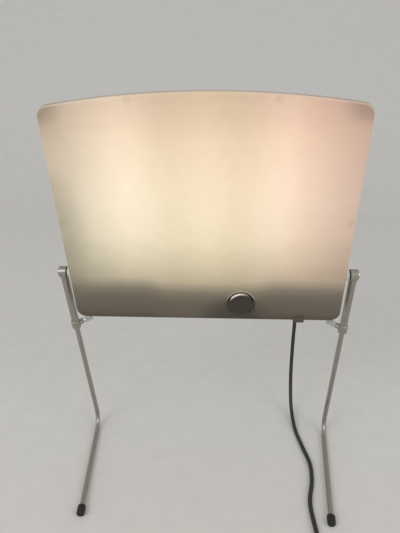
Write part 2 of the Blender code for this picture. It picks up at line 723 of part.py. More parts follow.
# Lamps with their bases, holders and clips
def make_lamp(side, x, parent):
    base_bottom = HOLDER_TOP + GAP
    glass_bottom = base_bottom + BASE_HEIGHT + GAP
    glass_top = SIDE_HEIGHT - LAMP_TOP_ROOM
    straight_top = glass_top - GLASS_HALF_PITCH - GLASS_RADIUS
    route = [(x + GLASS_HALF_PITCH, LAMP_DEPTH, glass_bottom)]
    for across, height in arc(x, straight_top, GLASS_HALF_PITCH, 0, pi, BEND_STEPS):
        route.append((across, LAMP_DEPTH, height))
    route.append((x - GLASS_HALF_PITCH, LAMP_DEPTH, glass_bottom))
    tube(side + "_lamp_tube", route, GLASS_RADIUS, LAMP_GLASS, parent, resolution=4)

    base = bmesh.new()
    add_box(
        base, (x - BASE_WIDTH / 2, LAMP_DEPTH - BASE_DEPTH / 2, base_bottom),
        (x + BASE_WIDTH / 2, LAMP_DEPTH + BASE_DEPTH / 2, base_bottom + BASE_HEIGHT))
    base = finish(side + "_lamp_base", base, WHITE_PLASTIC, parent)
    pins = bmesh.new()
    sockets = bmesh.new()
    for index in range(PIN_COUNT):
        pin_x = x + (index - (PIN_COUNT - 1) / 2) * PIN_PITCH
        add_cylinder(
            pins, (pin_x, LAMP_DEPTH, base_bottom - PIN_LENGTH), (pin_x, LAMP_DEPTH, base_bottom + OVERRUN),
            PIN_RADIUS, SMALL_SIDES)
        add_cylinder(
            sockets, (pin_x, LAMP_DEPTH, base_bottom - PIN_LENGTH - OVERRUN),
            (pin_x, LAMP_DEPTH, HOLDER_TOP + OVERRUN), PIN_RADIUS + GAP, SMALL_SIDES)
    combine(base, "UNION", make_tool(side + "_lamp_pins", pins, parent))

    holder = bmesh.new()
    back = SHEET_BACK - CHASSIS_THICKNESS - GAP
    add_box(
        holder, (x - HOLDER_WIDTH / 2, HOLDER_FRONT, HOLDER_BOTTOM), (x + HOLDER_WIDTH / 2, back, HOLDER_TOP))
    holder = finish(side + "_lamp_holder", holder, WHITE_PLASTIC, parent)
    combine(holder, "DIFFERENCE", make_tool(side + "_lamp_sockets", sockets, parent))

    outer = GLASS_HALF_PITCH + GLASS_RADIUS + GAP + CLIP_THICKNESS
    inner = outer - CLIP_THICKNESS
    rear = SHEET_BACK - REFLECTOR_THICKNESS - GAP
    outline = [
        (x - outer, CLIP_FRONT), (x - inner, CLIP_FRONT), (x - inner, rear - CLIP_THICKNESS),
        (x + inner, rear - CLIP_THICKNESS), (x + inner, CLIP_FRONT), (x + outer, CLIP_FRONT),
        (x + outer, rear), (x - outer, rear),
    ]
    clip = bmesh.new()
    add_prism(clip, outline, CLIP_WIDTH, Matrix.Translation((0, 0, glass_top - CLIP_DROP - CLIP_WIDTH / 2)))
    finish(side + "_tube_clip", clip, STEEL, parent)


# Ballasts and terminal block on the chassis
def make_electrics(parent):
    back = SHEET_BACK - CHASSIS_THICKNESS - GAP
    for side, sign in (("left", -1), ("right", 1)):
        x = sign * BALLAST_REACH
        bm = bmesh.new()
        add_box(
            bm, (x - BALLAST_WIDTH / 2, BALLAST_FRONT, BALLAST_BOTTOM),
            (x + BALLAST_WIDTH / 2, back, BALLAST_TOP))
        finish(side + "_ballast", bm, GALVANISED, parent)
    outline = [
        (back, BLOCK_BOTTOM), (back, BLOCK_TOP), (BLOCK_FRONT + BLOCK_STEP, BLOCK_TOP),
        (BLOCK_FRONT + BLOCK_STEP, BLOCK_TOP - BLOCK_LEDGE), (BLOCK_FRONT, BLOCK_TOP - BLOCK_LEDGE),
        (BLOCK_FRONT, BLOCK_BOTTOM),
    ]
    bm = bmesh.new()
    add_prism(bm, outline, BLOCK_WIDTH, Matrix.Translation((BLOCK_X - BLOCK_WIDTH / 2, 0, 0)) @ SIDE_VIEW)
    finish("terminal_block", bm, WHITE_PLASTIC, parent)


# Knob, shaft, bushing nut, bracket and rotary switch
def make_knob(parent):
    pivot = make_empty("knob_axis", parent, (KNOB_X, 0, KNOB_HEIGHT), (pi / 2, 0, 0))
    bore = SHAFT_RADIUS + GAP
    bore_end = -SHAFT_FRONT + GAP
    profile = [
        (0, KNOB_PROUD), (KNOB_FRONT_RADIUS - KNOB_EDGE, KNOB_PROUD),
        (KNOB_FRONT_RADIUS - KNOB_EDGE * ROUND_SHARE, KNOB_PROUD - KNOB_EDGE * ROUND_SHARE),
        (KNOB_FRONT_RADIUS, KNOB_PROUD - KNOB_EDGE), (KNOB_RADIUS, -KNOB_REAR), (bore, -KNOB_REAR),
        (bore, bore_end), (0, bore_end),
    ]
    knob = turned("knob", profile, KNOB_PLASTIC, pivot, sides=ROUND_SIDES * 2)
    pointer = bmesh.new()
    end = KNOB_FRONT_RADIUS - POINTER_MARGIN
    add_box(
        pointer, (-POINTER_WIDTH / 2, end - POINTER_LENGTH, KNOB_PROUD - OVERRUN),
        (POINTER_WIDTH / 2, end, KNOB_PROUD + POINTER_PROUD))
    combine(knob, "UNION", make_tool("knob_pointer", pointer, pivot))
    shaft = bmesh.new()
    add_cylinder(shaft, (0, 0, -SHAFT_REAR), (0, 0, -SHAFT_FRONT), SHAFT_RADIUS)
    finish("switch_shaft", shaft, STEEL, pivot)


def make_switch(parent):
    body_front = BRACKET_FRONT + BRACKET_THICKNESS + GAP
    half = SWITCH_SIZE / 2
    low = KNOB_HEIGHT - half
    bm = bmesh.new()
    add_box(bm, (KNOB_X - half, body_front, low), (KNOB_X + half, SWITCH_REAR, low + SWITCH_SIZE))
    switch = finish("rotary_switch", bm, DARK_PLASTIC, parent)
    bushing = bmesh.new()
    add_cylinder(
        bushing, (KNOB_X, BUSHING_FRONT, KNOB_HEIGHT), (KNOB_X, body_front + OVERRUN, KNOB_HEIGHT),
        BUSHING_RADIUS)
    combine(switch, "UNION", make_tool("switch_bushing", bushing, parent))
    bore = bmesh.new()
    add_cylinder(
        bore, (KNOB_X, BUSHING_FRONT - OVERRUN, KNOB_HEIGHT), (KNOB_X, SHAFT_REAR + GAP, KNOB_HEIGHT),
        SHAFT_RADIUS + GAP)
    combine(switch, "DIFFERENCE", make_tool("switch_bore", bore, parent))

    nut_rear = BRACKET_FRONT - GAP
    inner = BUSHING_RADIUS + GAP
    profile = [
        (NUT_RADIUS, NUT_THICKNESS), (NUT_RADIUS, 0), (inner, 0), (inner, NUT_THICKNESS),
    ]
    turned(
        "switch_nut", profile, STEEL, parent, (KNOB_X, nut_rear, KNOB_HEIGHT), (pi / 2, 0, 0), ring=True,
        sides=ROUND_SIDES)

    sheet = BRACKET_THICKNESS
    rear = SHEET_BACK - CHASSIS_THICKNESS - GAP
    outline = [
        (BRACKET_FRONT, BRACKET_TOP), (BRACKET_FRONT, BRACKET_BOTTOM), (rear, BRACKET_BOTTOM),
        (rear, BRACKET_BOTTOM + BRACKET_TAB), (rear - sheet, BRACKET_BOTTOM + BRACKET_TAB),
        (rear - sheet, BRACKET_BOTTOM + sheet), (BRACKET_FRONT + sheet, BRACKET_BOTTOM + sheet),
        (BRACKET_FRONT + sheet, BRACKET_TOP),
    ]
    bm = bmesh.new()
    add_prism(bm, outline, BRACKET_WIDTH, Matrix.Translation((KNOB_X - BRACKET_WIDTH / 2, 0, 0)) @ SIDE_VIEW)
    bracket = finish("switch_bracket", bm, GALVANISED, parent)
    hole = bmesh.new()
    add_cylinder(
        hole, (KNOB_X, BRACKET_FRONT - OVERRUN, KNOB_HEIGHT),
        (KNOB_X, BRACKET_FRONT + sheet + OVERRUN, KNOB_HEIGHT), BUSHING_RADIUS + GAP)
    combine(bracket, "DIFFERENCE", make_tool("bracket_hole", hole, parent))


# Wires from the strain relief to the block, the switch, the ballasts and the holders
def lane_wire(start, end):
    """From a face that looks forward, along the front lane and back to another such face."""
    (x0, y0, z0), (x1, y1, z1) = start, end
    turn = WIRE_TURN if x1 > x0 else -WIRE_TURN
    return smooth_route(
        [(x0, y0 - GAP, z0), (x0, y0 - GAP - WIRE_RADIUS, z0), (x0 + turn, WIRE_LANE, z0),
         ((x0 + x1) / 2, WIRE_LANE, (z0 + z1) / 2), (x1 - turn, WIRE_LANE, z1),
         (x1, y1 - GAP - WIRE_RADIUS, z1), (x1, y1 - GAP, z1)], WIRE_STEP)


def side_wire(start, end):
    """From a face that looks along X, along the front lane and back to a face that looks forward."""
    (x0, z0), (x1, y1, z1) = start, end
    out = GAP if x1 > x0 else -GAP
    turn = WIRE_TURN if x1 > x0 else -WIRE_TURN
    return smooth_route(
        [(x0 + out, WIRE_LANE, z0), (x0 + out + turn, WIRE_LANE, z0),
         ((x0 + x1) / 2, WIRE_LANE, (z0 + z1) / 2), (x1 - turn, WIRE_LANE, z1),
         (x1, y1 - GAP - WIRE_RADIUS, z1), (x1, y1 - GAP, z1)], WIRE_STEP)


def make_wires(parent):
    relief_inner = HEAD_DEPTH - SHELL_WALL - GAP - RELIEF_LIP_THICKNESS - GAP
    block_top = BLOCK_TOP + GAP
    block_depth = (BLOCK_FRONT + BLOCK_STEP + SHEET_BACK) / 2
    inlet = smooth_route(
        [(RELIEF_X, relief_inner, RELIEF_HEIGHT), (RELIEF_X, relief_inner - INLET_WIRE_RADIUS, RELIEF_HEIGHT),
         (RELIEF_X - WIRE_TURN, INLET_LANE + WIRE_RADIUS, RELIEF_HEIGHT),
         (RELIEF_X - 2 * WIRE_TURN, INLET_LANE, RELIEF_HEIGHT), (RELIEF_X / 2, INLET_LANE, RELIEF_HEIGHT),
         (0, INLET_LANE, RELIEF_HEIGHT),
         (BLOCK_X + 2 * WIRE_TURN, INLET_LANE, INLET_HOLE_HEIGHT - WIRE_RADIUS),
         (BLOCK_X, SHEET_BACK, INLET_HOLE_HEIGHT), (BLOCK_X, block_depth, block_top + WIRE_RISE),
         (BLOCK_X, block_depth - WIRE_RADIUS, block_top)], WIRE_STEP)
    tube("inlet_wire", inlet, INLET_WIRE_RADIUS, DARK_PLASTIC, parent, resolution=1)

    middle = (BALLAST_BOTTOM + BALLAST_TOP) / 2
    ballast_edge = BALLAST_REACH - BALLAST_WIDTH / 4
    block_low = BLOCK_BOTTOM + WIRE_SPREAD
    switch_left = KNOB_X - SWITCH_SIZE / 2
    switch_right = KNOB_X + SWITCH_SIZE / 2
    to_switch = list(reversed(side_wire(
        (switch_left, KNOB_HEIGHT), (BLOCK_X + WIRE_SPREAD, BLOCK_FRONT, KNOB_HEIGHT))))
    to_right = side_wire((switch_right, KNOB_HEIGHT), (ballast_edge, BALLAST_FRONT, middle - WIRE_SPREAD))
    to_left = lane_wire(
        (BLOCK_X - WIRE_SPREAD, BLOCK_FRONT, block_low), (-ballast_edge, BALLAST_FRONT, block_low))
    mains = {"switch_wire": to_switch, "right_ballast_wire": to_right, "left_ballast_wire": to_left}
    for name, route in mains.items():
        tube(name, route, WIRE_RADIUS, DARK_PLASTIC, parent, resolution=1)

    places = lamp_places()
    socket = HOLDER_TOP - WIRE_SPREAD
    left = lane_wire(
        (-ballast_edge, BALLAST_FRONT, middle), (places["left"], HOLDER_FRONT, socket - WIRE_SPREAD))
    long_start = (-ballast_edge, BALLAST_FRONT, BALLAST_TOP - WIRE_SPREAD)
    middle_wire = lane_wire(long_start, (places["middle"] - WIRE_SPREAD, HOLDER_FRONT, socket))
    right = lane_wire(
        (ballast_edge, BALLAST_FRONT, BALLAST_TOP - WIRE_SPREAD), (places["right"], HOLDER_FRONT, socket))
    lamps = {"left_lamp_wire": left, "middle_lamp_wire": middle_wire, "right_lamp_wire": right}
    for name, route in lamps.items():
        tube(name, route, WIRE_RADIUS, WHITE_PLASTIC, parent, resolution=1)


# Retaining clip and strain relief
def make_screen_clip(parent):
    front = -GAP - TAB_THICKNESS
    plate = -GAP - TAB_THICKNESS
    hook = SCREEN_SKIRT + GAP
    outline = [
        (front, -TAB_DROP), (-GAP, -TAB_DROP), (-GAP, plate), (hook + TAB_THICKNESS, plate),
        (hook + TAB_THICKNESS, TAB_HOOK_RISE), (hook, TAB_HOOK_RISE), (hook, -GAP), (-GAP, -GAP),
        (-GAP, TAB_RISE), (front, TAB_RISE),
    ]
    bm = bmesh.new()
    add_prism(bm, outline, TAB_WIDTH, Matrix.Translation((TAB_X - TAB_WIDTH / 2, 0, 0)) @ SIDE_VIEW)
    finish("screen_clip", bm, CLEAR_PLASTIC, parent)


def relief_end():
    return HEAD_DEPTH + GAP + RELIEF_FLANGE_THICKNESS + RELIEF_BOOT_LENGTH


def make_strain_relief(parent):
    inner = HEAD_DEPTH - SHELL_WALL - GAP
    outer = HEAD_DEPTH + GAP
    flange_end = outer + RELIEF_FLANGE_THICKNESS
    profile = [
        (0, relief_end()), (RELIEF_END_RADIUS, relief_end()), (RELIEF_BOOT_RADIUS, flange_end),
        (RELIEF_FLANGE_RADIUS, flange_end), (RELIEF_FLANGE_RADIUS, outer), (RELIEF_NECK_RADIUS, outer),
        (RELIEF_NECK_RADIUS, inner), (RELIEF_FLANGE_RADIUS, inner),
        (RELIEF_FLANGE_RADIUS, inner - RELIEF_LIP_THICKNESS), (0, inner - RELIEF_LIP_THICKNESS),
    ]
    turned("strain_relief", profile, BLACK_RUBBER, parent, (RELIEF_X, 0, RELIEF_HEIGHT), (-pi / 2, 0, 0))


# Pivots: brass insert, friction washer and shoulder screw on each side of the head
def make_pivot(side, sign, parent):
    turn = (0, sign * pi / 2, 0)
    profile = [
        (INSERT_RADIUS, 0), (INSERT_RADIUS, -INSERT_LENGTH), (INSERT_BORE_RADIUS, -INSERT_LENGTH),
        (INSERT_BORE_RADIUS, 0),
    ]
    place = (sign * boss_end(), PIVOT_DEPTH, PIVOT_HEIGHT)
    turned(side + "_pivot_insert", profile, BRASS, parent, place, turn, ring=True)
    hole = PIVOT_SHANK_RADIUS + GAP
    washer = [
        (WASHER_RADIUS, WASHER_THICKNESS), (WASHER_RADIUS, 0), (hole, 0), (hole, WASHER_THICKNESS),
    ]
    place = (sign * (boss_end() + GAP), PIVOT_DEPTH, PIVOT_HEIGHT)
    turned(side + "_friction_washer", washer, BLACK_RUBBER, parent, place, turn, ring=True)
    head_x = LEG_PLANE + SLEEVE_RADIUS + GAP
    shank = head_x - boss_end() - GAP
    screw = [
        (0, PIVOT_HEAD_HEIGHT), (PIVOT_HEAD_RADIUS - 2 * PIVOT_HEAD_EDGE, PIVOT_HEAD_HEIGHT),
        (PIVOT_HEAD_RADIUS, PIVOT_HEAD_HEIGHT - PIVOT_HEAD_EDGE), (PIVOT_HEAD_RADIUS, 0),
        (PIVOT_SHANK_RADIUS, 0), (PIVOT_SHANK_RADIUS, -shank), (PIVOT_THREAD_RADIUS, -shank),
        (PIVOT_THREAD_RADIUS, -shank - PIVOT_THREAD_LENGTH), (0, -shank - PIVOT_THREAD_LENGTH),
    ]
    turned(side + "_pivot_screw", screw, CHROME, parent, (sign * head_x, PIVOT_DEPTH, PIVOT_HEIGHT), turn)


# Legs: the bend starts and ends a tangent away from the corner where leg and foot would meet
BEND_TURN = pi / 2 + LEG_LEAN
BEND_TANGENT = ROD_BEND_RADIUS * tan(BEND_TURN / 2)
FOOT_RISE = asin((TIP_RADIUS - SOLE_CUT - ROD_RADIUS) / (FOOT_LENGTH - BEND_TANGENT))
CORNER_HEIGHT = ROD_RADIUS - BEND_TANGENT * sin(FOOT_RISE)


def pivot_place():
    return Vector((0, -LEG_LENGTH * sin(LEG_LEAN), CORNER_HEIGHT + LEG_LENGTH * cos(LEG_LEAN)))


def foot_direction(sign):
    """Direction of the foot in the leg's own frame."""
    along = Vector((
        -sign * sin(TOE_IN) * cos(FOOT_RISE), -cos(TOE_IN) * cos(FOOT_RISE), sin(FOOT_RISE)))
    return Matrix.Rotation(-LEG_LEAN, 3, "X") @ along


def rod_route(sign):
    corner = Vector((0, 0, -LEG_LENGTH))
    up = Vector((0, 0, 1))
    foot = foot_direction(sign)
    inside = up.angle(foot)
    tangent = ROD_BEND_RADIUS / tan(inside / 2)
    centre = corner + (up + foot).normalized() * ROD_BEND_RADIUS / sin(inside / 2)
    start = corner + up * tangent - centre
    axis = start.cross(corner + foot * tangent - centre).normalized()
    route = [Vector((0, 0, -ROD_TOP))]
    for step in range(BEND_STEPS + 1):
        turn = Quaternion(axis, (pi - inside) * step / BEND_STEPS)
        route.append(centre + turn @ start)
    route.append(corner + foot * (FOOT_LENGTH - TIP_WALL - GAP))
    return route


def make_sleeve(side, sign, leg):
    sleeve = bmesh.new()
    add_cylinder(sleeve, (0, 0, -SLEEVE_LENGTH), (0, 0, 0), SLEEVE_RADIUS)
    sleeve = finish(side + "_sleeve", sleeve, SATIN_METAL, leg)
    lock_z = -SLEEVE_LENGTH + COLLAR_HEIGHT / 2
    aim = lock_direction(sign)
    axis_point = Vector((0, 0, lock_z))
    shapes = {
        "eye": ((-SLEEVE_RADIUS, 0, 0), (SLEEVE_RADIUS, 0, 0), EYE_RADIUS),
        "collar": ((0, 0, -SLEEVE_LENGTH), (0, 0, -SLEEVE_LENGTH + COLLAR_HEIGHT), COLLAR_RADIUS),
        "lock_boss": (axis_point, axis_point + aim * LOCK_BOSS_REACH, LOCK_BOSS_RADIUS),
    }
    for name, (start, end, radius) in shapes.items():
        bm = bmesh.new()
        add_cylinder(bm, start, end, radius)
        combine(sleeve, "UNION", make_tool(side + "_" + name, bm, leg))
    cuts = {
        "eye_hole": ((-LEG_PLANE, 0, 0), (LEG_PLANE, 0, 0), EYE_HOLE_RADIUS),
        "bore": ((0, 0, -SLEEVE_LENGTH - OVERRUN), (0, 0, -SLEEVE_BORE_TOP), SLEEVE_BORE_RADIUS),
        "lock_hole": (axis_point, axis_point + aim * (LOCK_BOSS_REACH + OVERRUN), LOCK_HOLE_RADIUS),
    }
    for name, (start, end, radius) in cuts.items():
        bm = bmesh.new()
        add_cylinder(bm, start, end, radius)
        combine(sleeve, "DIFFERENCE", make_tool(side + "_" + name, bm, leg))


def lock_direction(sign):
    return Vector((-sign * cos(LOCK_AIM), sin(LOCK_AIM), 0))


def make_lock(side, sign, leg):
    aim = lock_direction(sign)
    turn = aim.to_track_quat("Z", "Y").to_euler()
    place = Vector((0, 0, -SLEEVE_LENGTH + COLLAR_HEIGHT / 2))
    axis = make_empty(side + "_lock_axis", leg, place, turn)
    neck = LOCK_BOSS_REACH + GAP
    knob = neck + LOCK_NECK
    end = knob + LOCK_KNOB_LENGTH
    edge = LOCK_KNOB_EDGE
    tip = ROD_RADIUS + GAP
    profile = [
        (0, end), (LOCK_KNOB_RADIUS - edge, end), (LOCK_KNOB_RADIUS, end - edge),
        (LOCK_KNOB_RADIUS, knob + edge), (LOCK_KNOB_RADIUS - edge, knob), (LOCK_BOSS_RADIUS - edge, neck),
        (LOCK_SHANK_RADIUS, neck), (LOCK_SHANK_RADIUS, tip), (0, tip),
    ]
    turned(side + "_lock_screw", profile, CHROME, axis, sides=SMALL_SIDES)


def make_tip(side, sign, leg):
    foot = foot_direction(sign)
    corner = Vector((0, 0, -LEG_LENGTH))
    end = corner + foot * FOOT_LENGTH
    start = corner + foot * (FOOT_LENGTH - TIP_LENGTH)
    bm = bmesh.new()
    add_cylinder(bm, start, end, TIP_RADIUS)
    tip = finish(side + "_foot_tip", bm, BLACK_RUBBER, leg)
    bore = bmesh.new()
    add_cylinder(bore, start - foot * OVERRUN, end - foot * TIP_WALL, TIP_BORE_RADIUS)
    combine(tip, "DIFFERENCE", make_tool(side + "_tip_bore", bore, leg))
    under = bmesh.new()
    add_box(under, (-LEG_PLANE * 2, -LEG_LENGTH, -TIP_LENGTH), (LEG_PLANE * 2, LEG_LENGTH, 0))
    combine(tip, "DIFFERENCE", make_tool(side + "_table_plane", under, leg.parent))


def make_leg(side, sign, parent):
    place = pivot_place() + Vector((sign * LEG_PLANE, 0, 0))
    leg = make_empty(side + "_leg_axis", parent, place, (LEG_LEAN, 0, 0))
    make_sleeve(side, sign, leg)
    tube(side + "_rod", rod_route(sign), ROD_RADIUS, SATIN_METAL, leg, resolution=4)
    make_tip(side, sign, leg)
    make_lock(side, sign, leg)


# Power cord: free stretch, coil and plug
def coil_route(centre):
    """Spirals in on the table, climbs a layer where it reverses, and spirals out on top."""
    inner = COIL_OUTER_RADIUS - COIL_PITCH * (COIL_TURNS + COIL_CLIMB_TURNS / 2)
    reverse = COIL_TURNS + COIL_CLIMB_TURNS / 2
    last = COIL_TURNS + COIL_CLIMB_TURNS + COIL_UPPER_TURNS
    count = round(last * COIL_LOOP_POINTS)
    route = []
    for index in range(count + 1):
        turns = last * index / count
        radius = inner + COIL_PITCH * abs(turns - reverse)
        climb = min(1, max(0, (turns - COIL_TURNS) / COIL_CLIMB_TURNS))
        angle = -2 * pi * turns
        route.append(centre + Vector((radius * cos(angle), radius * sin(angle), COIL_PITCH * climb)))
    entry = route[0] + Vector((0, COIL_LEAD, 0))
    tail = route[-1] + Vector((-COIL_TAIL, 0, 0))
    return [entry, *route, tail]


def least_gap(route):
    """Least clear distance between stretches of the coil that aren't neighbours along it."""
    apart = COIL_LOOP_POINTS // 3
    least = COIL_OUTER_RADIUS
    for index, point in enumerate(route):
        for first, second in zip(route[index + apart:], route[index + apart + 1:]):
            along = second - first
            share = min(1, max(0, (point - first).dot(along) / along.length_squared))
            least = min(least, (point - first - along * share).length - 2 * CORD_RADIUS)
    return least


def make_cord(head):
    centre = Vector((COIL_ENTRY_X - COIL_OUTER_RADIUS, COIL_FRONT, CORD_HEIGHT))
    coil = coil_route(centre)
    tube("cord_coil", coil, CORD_RADIUS, CORD_BLACK, None, resolution=1)
    print("least gap in the coil (m):", round(least_gap(coil), 5))

    back = head.matrix_world.to_3x3() @ Vector((0, 1, 0))
    start = head.matrix_world @ Vector((RELIEF_X, relief_end() + GAP, RELIEF_HEIGHT))
    end = coil[0] + Vector((0, GAP, 0))
    points = [start, start + back * CORD_EXIT_RUN, *CORD_ROUTE, end + Vector((0, CORD_ENTRY_RUN, 0)), end]
    free = smooth_route(points, CORD_STEP)
    tube("power_cord", free, CORD_RADIUS, CORD_BLACK, None)
    print("cord length (m):", round(route_length(free) + route_length(coil), 3), "points:", len(free))
    make_plug(coil[-1] + Vector((-GAP, 0, 0)))


def make_plug(place):
    boot = [
        (0, PLUG_BOOT_LENGTH + PLUG_EDGE), (PLUG_BOOT_ROOT_RADIUS, PLUG_BOOT_LENGTH + PLUG_EDGE),
        (PLUG_BOOT_ROOT_RADIUS, PLUG_BOOT_LENGTH), (PLUG_BOOT_RADIUS, 0), (0, 0),
    ]
    frame = make_empty("plug_axis", None, place, (0, -pi / 2, 0))
    bm = bmesh.new()
    root = PLUG_BOOT_LENGTH
    add_box(
        bm, (-PLUG_HEIGHT / 2, -PLUG_WIDTH / 2, root), (PLUG_HEIGHT / 2, PLUG_WIDTH / 2, root + PLUG_LENGTH))
    plug = finish("plug_body", bm, CORD_BLACK, frame)
    round_edges(plug, PLUG_EDGE)
    tool = turned("plug_boot", boot, CORD_BLACK, frame)
    PARTS.objects.unlink(tool)
    TOOLS.objects.link(tool)
    tool.hide_render = True
    tool.display_type = "WIRE"
    combine(plug, "UNION", tool)

    face = root + PLUG_LENGTH + GAP
    for side, sign in (("left", -1), ("right", 1)):
        y = sign * BLADE_HALF_PITCH
        blade = bmesh.new()
        add_box(
            blade, (BLADE_RISE - BLADE_WIDTH / 2, y - BLADE_THICKNESS / 2, face),
            (BLADE_RISE + BLADE_WIDTH / 2, y + BLADE_THICKNESS / 2, face + BLADE_LENGTH))
        finish(side + "_plug_blade", blade, BRASS, frame)
    pin = bmesh.new()
    end = face + GROUND_LENGTH
    add_cylinder(pin, (-GROUND_DROP, 0, face), (-GROUND_DROP, 0, end), GROUND_RADIUS, SMALL_SIDES)
    finish("ground_pin", pin, BRASS, frame)


def centre_over_origin(lamp):
    """Moves the lamp so that the middle of its base lies at the origin."""
    bpy.context.view_layer.update()
    graph = bpy.context.evaluated_depsgraph_get()
    points = []
    for obj in PARTS.objects:
        if obj.type == "EMPTY" or obj.name == "strain_relief":
            continue
        seen = obj.evaluated_get(graph)
        mesh = bpy.data.meshes.new_from_object(seen)
        points += [obj.matrix_world @ vertex.co for vertex in mesh.vertices]
        bpy.data.meshes.remove(mesh)
    for axis in (0, 1):
        values = [point[axis] for point in points]
        lamp.location[axis] -= (min(values) + max(values)) / 2
    bpy.context.view_layer.update()


clear_scene()
PARTS = make_collection("light_therapy_lamp")
TOOLS = make_collection("cutters")

OPAL = make_material("opal_plastic", (0.93, 0.90, 0.82), 0.35)
HOUSING = make_material("housing_plastic", (0.82, 0.81, 0.77), 0.45)
WHITE_SHEET = make_material("white_painted_sheet", (0.90, 0.90, 0.88), 0.30)
GALVANISED = make_material("galvanised_sheet", (0.55, 0.56, 0.58), 0.40, metallic=1.0)
STEEL = make_material("plain_steel", (0.60, 0.60, 0.60), 0.35, metallic=1.0)
CHROME = make_material("chrome", (0.80, 0.80, 0.80), 0.12, metallic=1.0)
SATIN_METAL = make_material("satin_metal", (0.62, 0.61, 0.58), 0.30, metallic=1.0)
BRASS = make_material("brass", (0.72, 0.55, 0.28), 0.30, metallic=1.0)
LAMP_GLASS = make_material("lamp_glass", (0.96, 0.95, 0.90), 0.25)
WHITE_PLASTIC = make_material("white_plastic", (0.86, 0.86, 0.84), 0.45)
DARK_PLASTIC = make_material("dark_plastic", (0.06, 0.06, 0.065), 0.50)
KNOB_PLASTIC = make_material("knob_plastic", (0.78, 0.75, 0.68), 0.38)
CLEAR_PLASTIC = make_material("clear_plastic", (0.85, 0.85, 0.83), 0.15, alpha=0.55)
BLACK_RUBBER = make_material("black_rubber", (0.03, 0.03, 0.03), 0.75)
CORD_BLACK = make_material("cord_plastic", (0.035, 0.035, 0.037), 0.50)

lamp = make_empty("lamp", None)
hang = Matrix.Rotation(HEAD_LEAN, 3, "X") @ Vector((0, PIVOT_DEPTH, PIVOT_HEIGHT))
head = make_empty("head", lamp, pivot_place() - hang, (HEAD_LEAN, 0, 0))

make_screen(head)
make_shell(head)
make_reflector(head)
make_chassis(head)
make_shelf(head)
make_sheet_screws(head)
for lamp_side, lamp_x in lamp_places().items():
    make_lamp(lamp_side, lamp_x, head)
make_electrics(head)
make_knob(head)
make_switch(head)
make_wires(head)
make_screen_clip(head)
make_strain_relief(head)
for leg_side, leg_sign in (("left", -1), ("right", 1)):
    make_pivot(leg_side, leg_sign, head)
    make_leg(leg_side, leg_sign, lamp)
centre_over_origin(lamp)
make_cord(head)
for part in PARTS.objects:
    if part.type == "MESH":
        shade_round(part)
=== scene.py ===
"""Looks for the light therapy lamp: a lit opal screen held up by two bent, telescoping legs."""
import json
from math import asin, atan2, cos, pi, radians, sin, sqrt, tan

import bmesh
import bpy
from bmesh.types import BMEdge, BMVert
from mathutils import Matrix, Vector


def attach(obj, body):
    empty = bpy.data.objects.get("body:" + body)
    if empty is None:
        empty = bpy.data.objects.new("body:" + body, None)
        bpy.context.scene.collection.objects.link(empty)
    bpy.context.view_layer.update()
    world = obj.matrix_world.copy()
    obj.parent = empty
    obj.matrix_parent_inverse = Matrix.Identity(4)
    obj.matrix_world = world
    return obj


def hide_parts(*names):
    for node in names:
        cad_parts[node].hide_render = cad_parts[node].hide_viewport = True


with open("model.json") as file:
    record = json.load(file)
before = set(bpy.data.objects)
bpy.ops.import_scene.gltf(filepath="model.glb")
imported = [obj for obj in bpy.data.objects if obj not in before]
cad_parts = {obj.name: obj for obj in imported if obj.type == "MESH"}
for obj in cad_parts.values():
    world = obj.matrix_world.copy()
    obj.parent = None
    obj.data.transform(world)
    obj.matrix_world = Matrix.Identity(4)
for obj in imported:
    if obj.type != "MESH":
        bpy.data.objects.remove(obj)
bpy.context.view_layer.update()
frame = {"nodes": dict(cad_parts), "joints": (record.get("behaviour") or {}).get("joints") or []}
nodes = frame["nodes"]


# Camera, floor and studio light
# The lamp stands on a pale table top that sweeps up into its backdrop. It is seen from the front,
# a little above the screen's top edge, and lit evenly by a pale room and two large soft boxes.
def linear(colour):
    """Turns an sRGB hex colour into linear values."""
    shares = [int(colour[place:place + 2], 16) / 255 for place in (0, 2, 4)]
    return (*[share / 12.92 if share <= 0.04045 else ((share + 0.055) / 1.055) ** 2.4 for share in shares], 1)


def add(tree, kind, inputs=(), stops=(), to=None, **settings):
    """Adds a node with its settings, stops and inputs, and may feed its output to the shader's input."""
    node = tree.nodes.new(kind)
    for name, value in settings.items():
        setattr(node, name, value)
    if stops:
        places, colours = zip(*stops)
        colours = [linear(colour) if isinstance(colour, str) else colour for colour in colours]
        elements = node.color_ramp.elements
        elements[0].position, elements[-1].position = places[0], places[-1]
        elements[0].color, elements[-1].color = colours[0], colours[-1]
        for place, colour in zip(places[1:-1], colours[1:-1]):
            elements.new(place).color = colour
    for name, value in dict(inputs).items():
        if isinstance(value, bpy.types.Node):
            value = value.outputs[0]
        if isinstance(value, bpy.types.NodeSocket):
            tree.links.new(value, node.inputs[name])
        else:
            node.inputs[name].default_value = value
    if to:
        tree.links.new(node.outputs[0], tree.nodes["Principled BSDF"].inputs[to])
    return node


def surface(name, colour, roughness, **inputs):
    """A material whose Principled BSDF has its constants set, with its tree and coordinates."""
    material = bpy.data.materials.new(name)
    material.use_nodes = True
    tree = material.node_tree
    shader = tree.nodes["Principled BSDF"]
    shader.inputs["Base Color"].default_value = linear(colour)
    shader.inputs["Roughness"].default_value = roughness
    for label, value in inputs.items():
        shader.inputs[label.replace("_", " ")].default_value = value
    return material, tree, add(tree, "ShaderNodeTexCoord").outputs["Object"]


